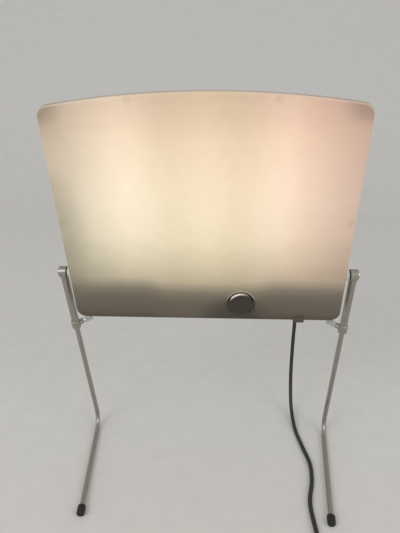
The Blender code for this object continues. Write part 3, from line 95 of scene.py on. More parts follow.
# Lens and place of the camera that took the picture, for an image of 400 by 533
FOCAL_PIXELS = 490.9
IMAGE_HEIGHT = 533
SENSOR = 36
PITCH = radians(24.99)
YAW = radians(-3.66)
ROLL = radians(0.90)
CAMERA_PLACE = Vector((0.0331, -0.6270, 0.6811))
ahead = Vector((sin(YAW) * cos(PITCH), cos(YAW) * cos(PITCH), -sin(PITCH)))
level = Vector((cos(YAW), -sin(YAW), 0))
below = ahead.cross(level)
right = cos(ROLL) * level + sin(ROLL) * below
down = cos(ROLL) * below - sin(ROLL) * level
lens = bpy.data.cameras.new("camera")
lens.sensor_width = SENSOR
lens.lens = SENSOR * FOCAL_PIXELS / IMAGE_HEIGHT
camera = bpy.data.objects.new("camera", lens)
axes = Matrix((right, -down, -ahead)).transposed()
camera.matrix_world = Matrix.Translation(CAMERA_PLACE) @ axes.to_4x4()
bpy.context.scene.collection.objects.link(camera)
bpy.context.scene.camera = camera
bpy.context.scene.view_settings.view_transform = "Standard"

# The floor runs level under the lamp, then a spun quarter circle lifts it into the backdrop
FLOOR_REACH = 3.2
SWEEP_START = 1.3
SWEEP_RADIUS = 1.2
SWEEP_STEPS = 24


def only(kind, items):
    """The vertices or the edges among a mesh operator's results."""
    return [item for item in items if isinstance(item, kind)]


def push(bm, edges, step):
    """Extrudes edges, moves their copies by a step, and returns the copies with their vertices."""
    made = bmesh.ops.extrude_edge_only(bm, edges=edges)["geom"]
    bmesh.ops.translate(bm, verts=only(BMVert, made), vec=step)
    return only((BMVert, BMEdge), made)


sweep = bmesh.new()
ends = [sweep.verts.new((side * FLOOR_REACH, -FLOOR_REACH, 0)) for side in (-1, 1)]
end = push(sweep, [sweep.edges.new(ends)], (0, FLOOR_REACH + SWEEP_START, 0))
end = bmesh.ops.spin(
    sweep, geom=end, cent=(0, SWEEP_START, SWEEP_RADIUS), axis=(1, 0, 0), angle=pi / 2,
    steps=SWEEP_STEPS)["geom_last"]
push(sweep, only(BMEdge, end), (0, 0, FLOOR_REACH))
bmesh.ops.recalc_face_normals(sweep, faces=sweep.faces)
mesh = bpy.data.meshes.new("floor")
sweep.to_mesh(mesh)
sweep.free()
mesh.shade_smooth()
floor = bpy.data.objects.new("floor", mesh)
bpy.context.scene.collection.objects.link(floor)

# Matt painted board, pale and neutral, with a faint roller mottle a few centimetres across
paint, tree, place = surface("matt_backdrop_paint", "DAD8D4", 0.9)
mottle = add(tree, "ShaderNodeTexNoise", {"Vector": place, "Scale": 30, "Detail": 3})
add(tree, "ShaderNodeValToRGB", {0: mottle}, stops=((0.3, "D8D6D2"), (0.7, "DCDAD6")), to="Base Color")
mesh.materials.append(paint)

# The room's white light, and the two boxes with their places, sizes and watts, aimed at the head
ROOM_LIGHT = 0.62
LIGHT_AIM = Vector((0, 0, 0.4))
world = bpy.data.worlds.new("studio")
bpy.context.scene.world = world
world.use_nodes = True
room = world.node_tree.nodes["Background"]
room.inputs["Color"].default_value = (1, 1, 1, 1)
room.inputs["Strength"].default_value = ROOM_LIGHT
LIGHTS = {
    "soft_box_left": ((-1.5, -1.7, 1.9), 1.4, 17),
    "soft_box_right": ((1.7, -1.2, 1.5), 1.2, 8),
}
for name, (place, size, power) in LIGHTS.items():
    light = bpy.data.lights.new(name, "AREA")
    light.shape = "SQUARE"
    light.size = size
    light.energy = power
    box = bpy.data.objects.new(name, light)
    box.location = place
    box.rotation_euler = (LIGHT_AIM - Vector(place)).to_track_quat("-Z", "Y").to_euler()
    bpy.context.scene.collection.objects.link(box)


# Front screen
# One vacuum-formed sheet of opal acrylic, 2 mm thick, with a rolled edge all round, a hole for the
# knob and eight hooks inside. Three twin tubes shine through it, and the wiring space below stays dark.
HEAD_WIDTH = 0.406
SIDE_HEIGHT = 0.326
ARCH_RISE = 0.017
CORNER_RADIUS = 0.015
ARCH_RADIUS = ((HEAD_WIDTH / 2) ** 2 + ARCH_RISE ** 2) / (2 * ARCH_RISE)
ARCH_CENTRE = SIDE_HEIGHT + ARCH_RISE - ARCH_RADIUS
SCREEN_THICKNESS = 0.002
SCREEN_SKIRT = 0.008
SCREEN_EDGE = 0.003
KNOB_X = 0.0525
KNOB_HEIGHT = 0.032
KNOB_HOLE = 0.0205
HOLE_EDGE = 0.0008
HOOK = (0.010, 0.002, 0.0075)
HOOK_INSET = 0.0051
HOOK_X = 0.090
HOOK_HEIGHTS = (0.050, 0.170)
HEAD_LEAN = radians(9)
PIVOT_DEPTH = 0.0165
PIVOT_HEIGHT = 0.075

# The pivots' places come from the joints, and the head's own frame from them
joints = {joint["name"]: joint for joint in frame["joints"]}
lean = Matrix.Rotation(HEAD_LEAN, 4, "X")
pivot_middle = Vector((0, *joints["right_leg_tilt"]["pos_m"][1:]))
head_place = pivot_middle - lean @ Vector((0, PIVOT_DEPTH, PIVOT_HEIGHT))
HEAD = Matrix.Translation(head_place) @ lean
FRONTWARD = Matrix.Rotation(pi / 2, 4, "X")
TOUCHING = 0.00001
CORNER_STEPS = 10
ARCH_STEPS = 40
SHARP_ANGLE = radians(35)


def outline(bm, depth, side, bottom, top, radius):
    """Spins the head's four corners and its arch at a depth, with their insets, into one ring of edges."""
    across = HEAD_WIDTH / 2 - side - radius
    arch = ARCH_RADIUS - top
    high = ARCH_CENTRE + sqrt((arch - radius) ** 2 - across ** 2)
    turn_share = atan2(high - ARCH_CENTRE, across)
    arcs = (
        (-across, bottom + radius, radius, pi, pi / 2, CORNER_STEPS),
        (across, bottom + radius, radius, 3 * pi / 2, pi / 2, CORNER_STEPS),
        (across, high, radius, 0, turn_share, CORNER_STEPS),
        (0, ARCH_CENTRE, arch, turn_share, pi - 2 * turn_share, ARCH_STEPS),
        (-across, high, radius, pi - turn_share, turn_share, CORNER_STEPS),
    )
    ring = []
    last = None
    for x, z, reach, start, turn, steps in arcs:
        point = Vector((x + reach * cos(start), depth, z + reach * sin(start)))
        joined = last and (last.co - point).length < TOUCHING
        first = last if joined else bm.verts.new(point)
        if last and not joined:
            ring.append(bm.edges.new((last, first)))
        known = set(bm.edges)
        end = bmesh.ops.spin(
            bm, geom=[first], cent=(x, depth, z), axis=(0, -1, 0), angle=turn, steps=steps)["geom_last"][0]
        ring += [edge for edge in bm.edges if edge not in known]
        last = end
    loose = [vert for vert in {vert for edge in ring for vert in edge.verts} if len(vert.link_edges) == 1]
    ring.append(bm.edges.new(loose))
    return ring


def circle(bm, radius, steps, place):
    """Adds a circle about the place's own Z axis and returns its edges."""
    known = set(bm.edges)
    bmesh.ops.create_circle(bm, radius=radius, segments=steps, matrix=place)
    return [edge for edge in bm.edges if edge not in known]


def bridge(bm, rings):
    """Joins each ring of edges to the next by faces."""
    for front, back in zip(rings, rings[1:]):
        bmesh.ops.bridge_loops(bm, edges=front + back)


def block(bm, middle, size):
    """Adds a box of a size about its middle and returns its vertices."""
    place = Matrix.Translation(middle) @ Matrix.Diagonal((*size, 1))
    return bmesh.ops.create_cube(bm, size=1, matrix=place)["verts"]


def round_edges(made, width, steps, least=40):
    """Rounds the edges where faces meet at more than the least angle in degrees."""
    rounding = made.modifiers.new("rounded_edges", "BEVEL")
    rounding.width = width
    rounding.segments = steps
    rounding.limit_method = "ANGLE"
    rounding.angle_limit = radians(least)
    return rounding


def piece(name, bm, place, material, body, replaced, bevel=0, steps=3):
    """Makes a finished piece with its place in its mesh, rounds its edges and lets it ride on its body."""
    bmesh.ops.recalc_face_normals(bm, faces=bm.faces)
    bmesh.ops.transform(bm, matrix=place, verts=bm.verts)
    data = bpy.data.meshes.new(name)
    bm.to_mesh(data)
    bm.free()
    data.shade_smooth()
    data.set_sharp_from_angle(angle=SHARP_ANGLE)
    data.materials.append(material)
    made = bpy.data.objects.new(name, data)
    bpy.context.scene.collection.objects.link(made)
    if bevel:
        round_edges(made, bevel, steps).harden_normals = True
    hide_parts(*replaced)
    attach(made, body)
    return made


def wall(made, thickness):
    """Gives an open form its wall, inward from the drawn face."""
    solid = made.modifiers.new("wall", "SOLIDIFY")
    solid.thickness = thickness
    solid.offset = -1
    solid.use_even_offset = True


# Opal acrylic: satin front, milky, with a glow that is cream over the left and middle tubes and
# peach over the right one, grey towards the edges and taupe over the wiring space. UP gives its
# colours by height, and ACROSS by place from left to right as parts of the PEAK.
GLOW_TOP = 0.345
UP = (
    (0.002, "4E463D"), (0.016, "6A6154"), (0.042, "6E6658"), (0.058, "8C8270"), (0.070, "B6AA92"),
    (0.080, "CEC1A6"), (0.092, "CFC2A6"), (0.120, "DED2B5"), (0.150, "F3E4C7"), (0.215, "FFEED2"),
    (0.290, "F6DDC0"), (0.335, "DCC4AB"),
)
PEAK = "FFEDD1"
ACROSS = (
    (-0.200, "B9AC97"), (-0.165, "DCCFB6"), (-0.120, "FBE9CD"), (-0.090, "FFEDD1"), (-0.044, "EAD9B9"),
    (0.004, "FDE9C9"), (0.043, "EBD7B7"), (0.095, "FFE7CD"), (0.130, "F7D8BF"), (0.200, "C8AE9D"),
)
SHELF_DROP = 0.0078
SHELF_LEFT = (-0.095, -0.055)
SHELF_RIGHT = (0.065, 0.105)
SHELF_RIGHT_SHARE = 0.2
LIT_FROM = 0.046
LIT_FULL = 0.095
opal, tree, place = surface("opal_acrylic", "E8DCC8", 0.36, IOR=1.49, Emission_Strength=1.25)
in_head = {"Location": head_place, "Rotation": (HEAD_LEAN, 0, 0)}
place = add(tree, "ShaderNodeMapping", {"Vector": place, **in_head}, vector_type="TEXTURE")
across, deep, high = add(tree, "ShaderNodeSeparateXYZ", {0: place}).outputs

# The shelf over the wiring space lies lower behind the middle of the screen
soft = {"interpolation_type": "SMOOTHSTEP"}
from_left = add(
    tree, "ShaderNodeMapRange", {0: across, 1: SHELF_LEFT[0], 2: SHELF_LEFT[1], 4: SHELF_DROP}, **soft)
from_right = add(
    tree, "ShaderNodeMapRange",
    {0: across, 1: SHELF_RIGHT[0], 2: SHELF_RIGHT[1], 3: 1, 4: SHELF_RIGHT_SHARE}, **soft)
lowered = add(tree, "ShaderNodeMath", {0: from_left, 1: from_right}, operation="MULTIPLY")
height = add(tree, "ShaderNodeMath", {0: high, 1: lowered}, operation="ADD")
upward = add(
    tree, "ShaderNodeValToRGB",
    {0: add(tree, "ShaderNodeMath", {0: height, 1: GLOW_TOP}, operation="DIVIDE")},
    stops=[(rise / GLOW_TOP, colour) for rise, colour in UP])
upward.color_ramp.interpolation = "B_SPLINE"
share = add(tree, "ShaderNodeMapRange", {0: across, 1: -HEAD_WIDTH / 2, 2: HEAD_WIDTH / 2})
sideways = add(tree, "ShaderNodeValToRGB", {0: share}, stops=[
    (x / HEAD_WIDTH + 1 / 2, [min(1, tone / most) for tone, most in zip(linear(colour), linear(PEAK))])
    for x, colour in ACROSS])
sideways.color_ramp.interpolation = "B_SPLINE"
lit = add(tree, "ShaderNodeMapRange", {0: height, 1: LIT_FROM, 2: LIT_FULL}, **soft)
beams = add(tree, "ShaderNodeMix", {0: lit, 6: (1, 1, 1, 1), 7: sideways}, data_type="RGBA").outputs[2]

# Painted shadows of the hooks, soft darker spots in the glow where the top and side hooks behind the
# sheet block the tubes' light, and the milky variation of the sheet, about 15 mm across and too faint to see
# as a pattern
HOOK_SHADOW_DROP = 0.0055
HOOK_SHADOW_INSET = 0.007
HOOK_SHADOW_CORE = 0.001
HOOK_SHADOW_RADIUS = 0.0085
HOOK_SHADOW_STRENGTH = 0.89
hook_shadow_top = ARCH_CENTRE + sqrt(ARCH_RADIUS ** 2 - HOOK_X ** 2) - HOOK_SHADOW_DROP
hook_shadows_and_drawing_marks = [(side * HOOK_X, hook_shadow_top) for side in (-1, 1)]
hook_shadows_and_drawing_marks += [(side * (HEAD_WIDTH / 2 - HOOK_SHADOW_INSET), z) for side in (-1, 1) for z in HOOK_HEIGHTS]
factors = [beams]
# Each spot is a painted hook shadow that darkens the glow, darkest at its core
for x, z in hook_shadows_and_drawing_marks:
    reach = add(tree, "ShaderNodeVectorMath", {0: place, 1: (x, 0, z)}, operation="DISTANCE").outputs["Value"]
    factors.append(add(
        tree, "ShaderNodeMapRange", {0: reach, 1: HOOK_SHADOW_CORE, 2: HOOK_SHADOW_RADIUS, 3: HOOK_SHADOW_STRENGTH, 4: 1}, **soft))
cloud = add(tree, "ShaderNodeTexNoise", {"Vector": place, "Scale": 65, "Detail": 2})
factors.append(add(tree, "ShaderNodeMapRange", {0: cloud, 1: 0.3, 2: 0.7, 3: 0.975, 4: 1}, **soft))

# Pools with soft edges, as middle, half size and strength: the shade under the knob, the left edge,
# dim below and lighter above, the light that the shelf's right end throws back, and the dim corners
POOLS = (
    ((KNOB_X - 0.010, 0.008), (0.055, 0.036), 0.50),
    ((-0.208, 0.165), (0.048, 0.075), 0.86),
    ((-0.208, 0.070), (0.035, 0.022), 0.84),
    ((0.165, 0.095), (0.065, 0.040), 1.06),
    ((-0.205, 0.268), (0.034, 0.034), 1.11),
    ((-0.203, 0.328), (0.032, 0.024), 0.74),
    ((0.203, 0.328), (0.040, 0.026), 0.72),
)
POOL_CORE = 0.35
POOL_END = 1.2
for (x, z), (half_width, half_height), strength in POOLS:
    pool = add(
        tree, "ShaderNodeMapping",
        {"Vector": place, "Location": (x, 0, z), "Scale": (half_width, 1, half_height)},
        vector_type="TEXTURE")
    reach = add(tree, "ShaderNodeVectorMath", {0: pool}, operation="LENGTH").outputs["Value"]
    factors.append(add(
        tree, "ShaderNodeMapRange", {0: reach, 1: POOL_CORE, 2: POOL_END, 3: strength, 4: 1}, **soft))
glow = upward
for factor in factors:
    glow = add(tree, "ShaderNodeVectorMath", {0: glow, 1: factor}, operation="MULTIPLY")

# The rolled edge is duller than the face, as the tubes reach less of it, and the upper half of the
# hole's lip is brighter
RIM_DARK = linear("5A5248")
RIM_LIT = linear("C4B6A4")
RIM_FROM = 0.0002
RIM_FULL = 0.0009
RIM_SHARE = 0.5
LIP_LIT = linear("B0A698")
LIP_WIDTH = 0.0010
LIP_END = 0.0022
LIP_FROM = 0.004
LIP_FULL = 0.013
rim = add(tree, "ShaderNodeMix", {0: lit, 6: RIM_DARK, 7: RIM_LIT}, data_type="RGBA").outputs[2]
behind = add(tree, "ShaderNodeMapRange", {0: deep, 1: RIM_FROM, 2: RIM_FULL, 4: RIM_SHARE}, **soft)
glow = add(tree, "ShaderNodeMix", {0: behind, 6: glow, 7: rim}, data_type="RGBA").outputs[2]
knob_spot = (KNOB_X, 0, KNOB_HEIGHT)
flat = add(tree, "ShaderNodeVectorMath", {0: place, 1: (1, 0, 1)}, operation="MULTIPLY")
reach = add(tree, "ShaderNodeVectorMath", {0: flat, 1: knob_spot}, operation="DISTANCE").outputs["Value"]
lip = add(
    tree, "ShaderNodeMapRange",
    {0: reach, 1: KNOB_HOLE + LIP_WIDTH, 2: KNOB_HOLE + LIP_END, 3: 1, 4: 0}, **soft)
upper = add(
    tree, "ShaderNodeMapRange", {0: high, 1: KNOB_HEIGHT + LIP_FROM, 2: KNOB_HEIGHT + LIP_FULL}, **soft)
lip = add(tree, "ShaderNodeMath", {0: lip, 1: upper}, operation="MULTIPLY")
glow = add(tree, "ShaderNodeMix", {0: lip, 6: glow, 7: LIP_LIT}, data_type="RGBA").outputs[2]

# The lit part and the lip carry most of their colour as light, and the unlit strip and the skirt
# none of it
OWN_LEAST = 0.42
OWN_FROM = 0.050
OWN_FULL = 0.110
SKIRT_FROM = 0.0012
LIP_OWN = 0.35
own = add(tree, "ShaderNodeMapRange", {0: height, 1: OWN_FROM, 2: OWN_FULL, 3: 1, 4: OWN_LEAST}, **soft)
skirt = add(tree, "ShaderNodeMapRange", {0: deep, 1: SKIRT_FROM, 2: SCREEN_EDGE}, **soft)
own = add(tree, "ShaderNodeMath", {0: own, 1: skirt}, operation="MAXIMUM")
kept = add(tree, "ShaderNodeMapRange", {0: lip, 3: 1, 4: LIP_OWN})
own = add(tree, "ShaderNodeMath", {0: own, 1: kept}, operation="MULTIPLY")
given = add(tree, "ShaderNodeMath", {0: 1, 1: own}, operation="SUBTRACT")
for share, entry in ((own, "Base Color"), (given, "Emission Color")):
    add(tree, "ShaderNodeVectorMath", {0: glow, "Scale": share}, operation="SCALE", to=entry)
# The satin grain, drawn at about 0.7 mm so that it shows
grain = add(tree, "ShaderNodeTexNoise", {"Vector": place, "Scale": 1400, "Detail": 2})
add(tree, "ShaderNodeMapRange", {0: grain, 1: 0.3, 2: 0.7, 3: 0.33, 4: 0.41}, to="Roughness")

EDGE_STEPS = 6
KNOB_STEPS = 72
screen = bmesh.new()
rings = []
for step in range(EDGE_STEPS + 1):
    angle = pi / 2 * step / EDGE_STEPS
    inset = SCREEN_EDGE * (1 - sin(angle))
    rings.append(outline(
        screen, SCREEN_EDGE * (1 - cos(angle)), inset, inset, inset, CORNER_RADIUS - inset))
rings.append(outline(screen, SCREEN_SKIRT, 0, 0, 0, CORNER_RADIUS))
bridge(screen, rings)
lips = [
    circle(screen, radius, KNOB_STEPS, Matrix.Translation((KNOB_X, depth, KNOB_HEIGHT)) @ FRONTWARD)
    for depth, radius in ((0, KNOB_HOLE + HOLE_EDGE), (HOLE_EDGE, KNOB_HOLE))]
bmesh.ops.triangle_fill(screen, use_beauty=True, edges=rings[0] + lips[0])
bridge(screen, lips)
screen = piece("lit_screen", screen, HEAD, opal, "head", ["front_screen"])
wall(screen, SCREEN_THICKNESS)

# The hooks are moulded bars behind the face, two on each edge
hooks = bmesh.new()
hook_width, hook_thickness, hook_length = HOOK
level = (hook_width, hook_length, hook_thickness)
upright = (hook_thickness, hook_length, hook_width)
arch = ARCH_CENTRE + sqrt((ARCH_RADIUS - HOOK_INSET) ** 2 - (HOOK_X + hook_width / 2) ** 2)
for side in (-1, 1):
    spots = [(side * HOOK_X, z, level) for z in (arch - hook_thickness, HOOK_INSET + hook_thickness / 2)]
    spots += [
        (side * (HEAD_WIDTH / 2 - HOOK_INSET - hook_thickness / 2), z, upright) for z in HOOK_HEIGHTS]
    for x, z, size in spots:
        block(hooks, (x, SCREEN_THICKNESS + hook_length / 2, z), size)
piece("screen_hooks", hooks, HEAD, opal, "head", ["front_screen"], bevel=0.0004)


# Rear shell
# A deep off-white ABS moulding with tapered sides, a wall of 2.5 mm, two rows of vents over the
# lamps' ends, a boss at each pivot and posts for the sheets. Its rim slides inside the screen's.
SHELL_WALL = 0.0025
HEAD_DEPTH = 0.080
RIM_INSET = 0.0023
RIM_START = 0.0035
RIM_END = 0.012
BACK_INSETS = (0.014, 0.010, 0.026)
BACK_CORNER = 0.020
BACK_EDGE = 0.007
VENTS = 11
VENT_PITCH = 0.022
VENT_RADIUS = 0.003
VENT_LENGTH = 0.034
VENT_HEIGHTS = (0.262, 0.085)
RELIEF_X = 0.166
RELIEF_HEIGHT = 0.036
RELIEF_HOLE = 0.0068
RELIEF_STEPS = 32
BOSS_START = 0.186
BOSS_END = 0.2095
BOSS_RADIUS = 0.008
BOSS_STEPS = 40
POST_RADIUS = 0.004
POST_STEPS = 24
SHEET_BACK = 0.058
POSTS = ((-0.122, 0.023), (0.072, 0.023), (-0.144, 0.090), (0.144, 0.090), (-0.144, 0.268), (0.144, 0.268))
CLEARANCE = 0.0003

# Moulded ABS: a warm white with a fine spark-eroded grain, which breaks up its gloss
abs_white, tree, place = surface("moulded_abs", "DDD9CF", 0.48, IOR=1.53)
cloud = add(tree, "ShaderNodeTexNoise", {"Vector": place, "Scale": 18, "Detail": 3})
add(tree, "ShaderNodeValToRGB", {0: cloud}, stops=((0.3, "D9D5CA"), (0.7, "E0DCD3")), to="Base Color")
# The real grain is 0.2 mm, drawn at 0.8 mm so that it shows
grain = add(tree, "ShaderNodeTexVoronoi", {"Vector": place, "Scale": 1250})
add(tree, "ShaderNodeBump", {"Strength": 0.25, "Distance": 0.0002, "Height": grain}, to="Normal")
worn = add(tree, "ShaderNodeTexNoise", {"Vector": place, "Scale": 240, "Detail": 4})
add(tree, "ShaderNodeMapRange", {0: worn, 1: 0.3, 2: 0.7, 3: 0.42, 4: 0.55}, to="Roughness")

shell = bmesh.new()
rings = [
    outline(shell, depth, RIM_INSET, RIM_INSET, RIM_INSET, CORNER_RADIUS - RIM_INSET)
    for depth in (RIM_START, RIM_END)]
for step in range(EDGE_STEPS + 1):
    angle = pi / 2 * step / EDGE_STEPS
    extra = BACK_EDGE * (1 - cos(angle))
    side, bottom, top = (inset + extra for inset in BACK_INSETS)
    rings.append(outline(
        shell, HEAD_DEPTH - BACK_EDGE * (1 - sin(angle)), side, bottom, top, BACK_CORNER - extra / 2))
bridge(shell, rings)
half = VENT_LENGTH / 2 - VENT_RADIUS
openings = []
for index in range(VENTS):
    x = (index - (VENTS - 1) / 2) * VENT_PITCH
    for z in VENT_HEIGHTS:
        caps = []
        for start, rise in ((0, half), (pi, -half)):
            first = shell.verts.new((x + VENT_RADIUS * cos(start), HEAD_DEPTH, z + rise))
            known = set(shell.edges)
            last = bmesh.ops.spin(
                shell, geom=[first], cent=(x, HEAD_DEPTH, z + rise), axis=(0, -1, 0), angle=pi,
                steps=CORNER_STEPS)["geom_last"][0]
            openings += [edge for edge in shell.edges if edge not in known]
            caps.append((first, last))
        openings += [shell.edges.new((caps[0][1], caps[1][0])), shell.edges.new((caps[1][1], caps[0][0]))]
openings += circle(
    shell, RELIEF_HOLE, RELIEF_STEPS, Matrix.Translation((RELIEF_X, HEAD_DEPTH, RELIEF_HEIGHT)) @ FRONTWARD)
bmesh.ops.triangle_fill(shell, use_beauty=True, edges=rings[-1] + openings)
shell = piece("moulded_shell", shell, HEAD, abs_white, "head", ["rear_shell"])
wall(shell, SHELL_WALL)
round_edges(shell, width=0.0005, steps=2, least=60).harden_normals = True

# Bosses at the pivots and posts behind the sheets are cores of the same moulding
cores = bmesh.new()
for side in (-1, 1):
    middle = Vector((side * (BOSS_START + BOSS_END) / 2, PIVOT_DEPTH, PIVOT_HEIGHT))
    bmesh.ops.create_cone(
        cores, cap_ends=True, segments=BOSS_STEPS, radius1=BOSS_RADIUS, radius2=BOSS_RADIUS,
        depth=BOSS_END - BOSS_START, matrix=Matrix.Translation(middle) @ Matrix.Rotation(pi / 2, 4, "Y"))
start = SHEET_BACK + CLEARANCE
end = HEAD_DEPTH - SHELL_WALL / 2
for x, z in POSTS:
    bmesh.ops.create_cone(
        cores, cap_ends=True, segments=POST_STEPS, radius1=POST_RADIUS, radius2=POST_RADIUS,
        depth=end - start, matrix=Matrix.Translation((x, (start + end) / 2, z)) @ FRONTWARD)
piece("shell_bosses", cores, HEAD, abs_white, "head", ["rear_shell"], bevel=0.0006)


# Reflector and shelf
# Folded sheet steel behind and under the tubes, powder coated in gloss white to throw the light
# forward. The reflector's screws go into the shell's posts, and the shelf rests on the chassis.
powder, tree, place = surface("white_powder_coat", "ECEBE6", 0.32, IOR=1.5)
# Orange peel of the fused powder, about 2 mm across
peel = add(tree, "ShaderNodeTexNoise", {"Vector": place, "Scale": 500, "Detail": 2})
add(tree, "ShaderNodeBump", {"Strength": 0.2, "Distance": 0.0002, "Height": peel}, to="Normal")
dust = add(tree, "ShaderNodeTexNoise", {"Vector": place, "Scale": 22, "Detail": 4})
add(tree, "ShaderNodeValToRGB", {0: dust}, stops=((0.35, "EEEDE8"), (0.75, "E3E1DA")), to="Base Color")


def dress(names, material, bevel=0.0):
    """Gives CAD nodes their finish and, where it shows, a small rounding on their edges."""
    for name in names:
        node = nodes[name]
        node.data.materials.clear()
        node.data.materials.append(material)
        if bevel:
            round_edges(node, bevel, steps=2)


dress(("reflector", "shelf"), powder)


# Chassis, ballasts and switch bracket
# Galvanised sheet steel: the chassis plate stands across the bottom of the shell, with a ballast
# in its folded can at each end and a small bent bracket for the switch. A trace of the tubes' light
# reaches this space, so that the gap round the knob isn't black.
STRAY_LIGHT = 0.35
zinc, tree, place = surface("galvanised_steel", "A9ABAD", 0.42, Metallic=1.0, Emission_Strength=1)
near = add(tree, "ShaderNodeMapping", {"Vector": place, **in_head}, vector_type="TEXTURE")
near = add(tree, "ShaderNodeVectorMath", {0: near, 1: (1, 0, 1)}, operation="MULTIPLY")
near = add(tree, "ShaderNodeVectorMath", {0: near, 1: knob_spot}, operation="DISTANCE").outputs["Value"]
stray = add(
    tree, "ShaderNodeMapRange", {0: near, 1: KNOB_HOLE, 2: 2 * KNOB_HOLE, 3: STRAY_LIGHT, 4: 0}, **soft)
add(
    tree, "ShaderNodeVectorMath", {0: linear("B4A892")[:3], "Scale": stray}, operation="SCALE",
    to="Emission Color")
# Spangle of the zinc, crystals of about 8 mm
spangle = add(tree, "ShaderNodeTexVoronoi", {"Vector": place, "Scale": 125})
add(
    tree, "ShaderNodeValToRGB", {0: spangle.outputs["Color"]},
    stops=((0.1, "9DA0A3"), (0.9, "B5B7B8")), to="Base Color")
add(tree, "ShaderNodeMapRange", {0: spangle.outputs["Color"], 3: 0.34, 4: 0.50}, to="Roughness")
dress(("chassis", "left_ballast", "right_ballast", "switch_bracket"), zinc, bevel=0.0003)


# Screws, tube clips, switch shaft and nut
# Small bright parts of zinc-plated steel: six tapping screws, a spring clip round each tube, and
# the shaft and nut of the switch.
plated, tree, place = surface("zinc_plated_steel", "B9BABB", 0.30, Metallic=1.0)
# Drawing marks of wire and strip, drawn from about 1 mm down to 0.3 mm
hook_shadows_and_drawing_marks = add(tree, "ShaderNodeTexNoise", {"Vector": place, "Scale": 900, "Detail": 3})
add(tree, "ShaderNodeMapRange", {0: hook_shadows_and_drawing_marks, 1: 0.3, 2: 0.7, 3: 0.24, 4: 0.38}, to="Roughness")
add(tree, "ShaderNodeValToRGB", {0: hook_shadows_and_drawing_marks}, stops=((0.3, "AFB0B2"), (0.7, "C2C2C1")), to="Base Color")
dress(
    ["chassis_screw_1", "chassis_screw_2", "left_tube_clip", "middle_tube_clip", "right_tube_clip",
     "switch_shaft", "switch_nut"] + [f"reflector_screw_{number}" for number in range(1, 5)],
    plated, bevel=0.0002)


# Lamps
# Three twin-tube fluorescent lamps: glass with a white phosphor inside, bent over at the top, and a
# pressed plastic base whose four pins stand in the holder below.
phosphor, tree, place = surface(
    "phosphor_coated_glass", "F4F1E6", 0.14, IOR=1.5, Emission_Color=linear("FFF0D6"), Emission_Strength=0.6,
    Coat_Weight=0.5, Coat_Roughness=0.05)
powdering = add(tree, "ShaderNodeTexNoise", {"Vector": place, "Scale": 160, "Detail": 3})
add(
    tree, "ShaderNodeValToRGB", {0: powdering},
    stops=((0.3, "F1EDE0"), (0.7, "F7F5EC")), to="Base Color")
dress(("left_lamp_tube", "middle_lamp_tube", "right_lamp_tube"), phosphor)

# Pressed thermoplastic of the bases, holders and block, and the lamp wires' sleeves: white and satin
socket, tree, place = surface("white_thermoplastic", "E4E3DE", 0.42, IOR=1.5)
flow = add(tree, "ShaderNodeTexNoise", {"Vector": place, "Scale": 60, "Detail": 3, "Distortion": 0.6})
add(tree, "ShaderNodeValToRGB", {0: flow}, stops=((0.3, "DFDED8"), (0.7, "E9E8E4")), to="Base Color")
add(tree, "ShaderNodeMapRange", {0: flow, 1: 0.3, 2: 0.7, 3: 0.36, 4: 0.48}, to="Roughness")
dress(["terminal_block"], socket, bevel=0.0005)
for side in ("left", "middle", "right"):
    dress((f"{side}_lamp_base", f"{side}_lamp_holder"), socket, bevel=0.0005)
    dress([f"{side}_lamp_wire"], socket)


# Switch and mains wires
# A rotary switch in a black phenolic case, and the black sleeves of the wires from the cord to the
# terminal block, the switch and the ballasts.
phenolic, tree, place = surface("black_phenolic", "242426", 0.45, IOR=1.55)
filler = add(tree, "ShaderNodeTexNoise", {"Vector": place, "Scale": 700, "Detail": 4})
add(tree, "ShaderNodeValToRGB", {0: filler}, stops=((0.3, "1E1E20"), (0.75, "2E2E30")), to="Base Color")
dress(["rotary_switch"], phenolic, bevel=0.0005)
dress(["inlet_wire", "switch_wire", "left_ballast_wire", "right_ballast_wire"], phenolic)


# Knob
# A round push-on knob in moulded plastic, standing through the screen's hole on the switch's shaft,
# with a raised pointer. Its side catches the light that leaks through the hole.
KNOB_RADIUS = 0.0184
KNOB_FRONT_RADIUS = 0.0178
KNOB_PROUD = 0.0048
KNOB_REAR = 0.0075
KNOB_DISH = 0.0006
KNOB_EDGE = 0.0008
KNOB_BORE = 0.0033
KNOB_BORE_END = 0.0023
POINTER = (0.0016, 0.008, 0.0012)
POINTER_INSET = 0.002
POINTER_SINK = 0.0002
LIGHT_SHIFT = 0.0004
LIGHT_EDGE = 0.0002
LIGHT_FROM = 0.006
LIGHT_FULL = 0.013
LIGHT_DEPTH = (-0.0004, 0.0008)
LEAK = 0.2


def turn(bm, profile, place=Matrix(), steps=48):
    """Spins an outline of radius and height about the place's own Z axis."""
    known = set(bm.verts)
    chain = [bm.verts.new((radius, 0, height)) for radius, height in profile]
    edges = [bm.edges.new(pair) for pair in zip(chain, chain[1:])]
    bmesh.ops.spin(
        bm, geom=chain + edges, cent=(0, 0, 0), axis=(0, 0, 1), angle=2 * pi, steps=steps, use_merge=True)
    bmesh.ops.remove_doubles(bm, verts=[vert for vert in bm.verts if vert not in known], dist=TOUCHING)
    bmesh.ops.transform(bm, matrix=place, verts=[vert for vert in bm.verts if vert not in known])


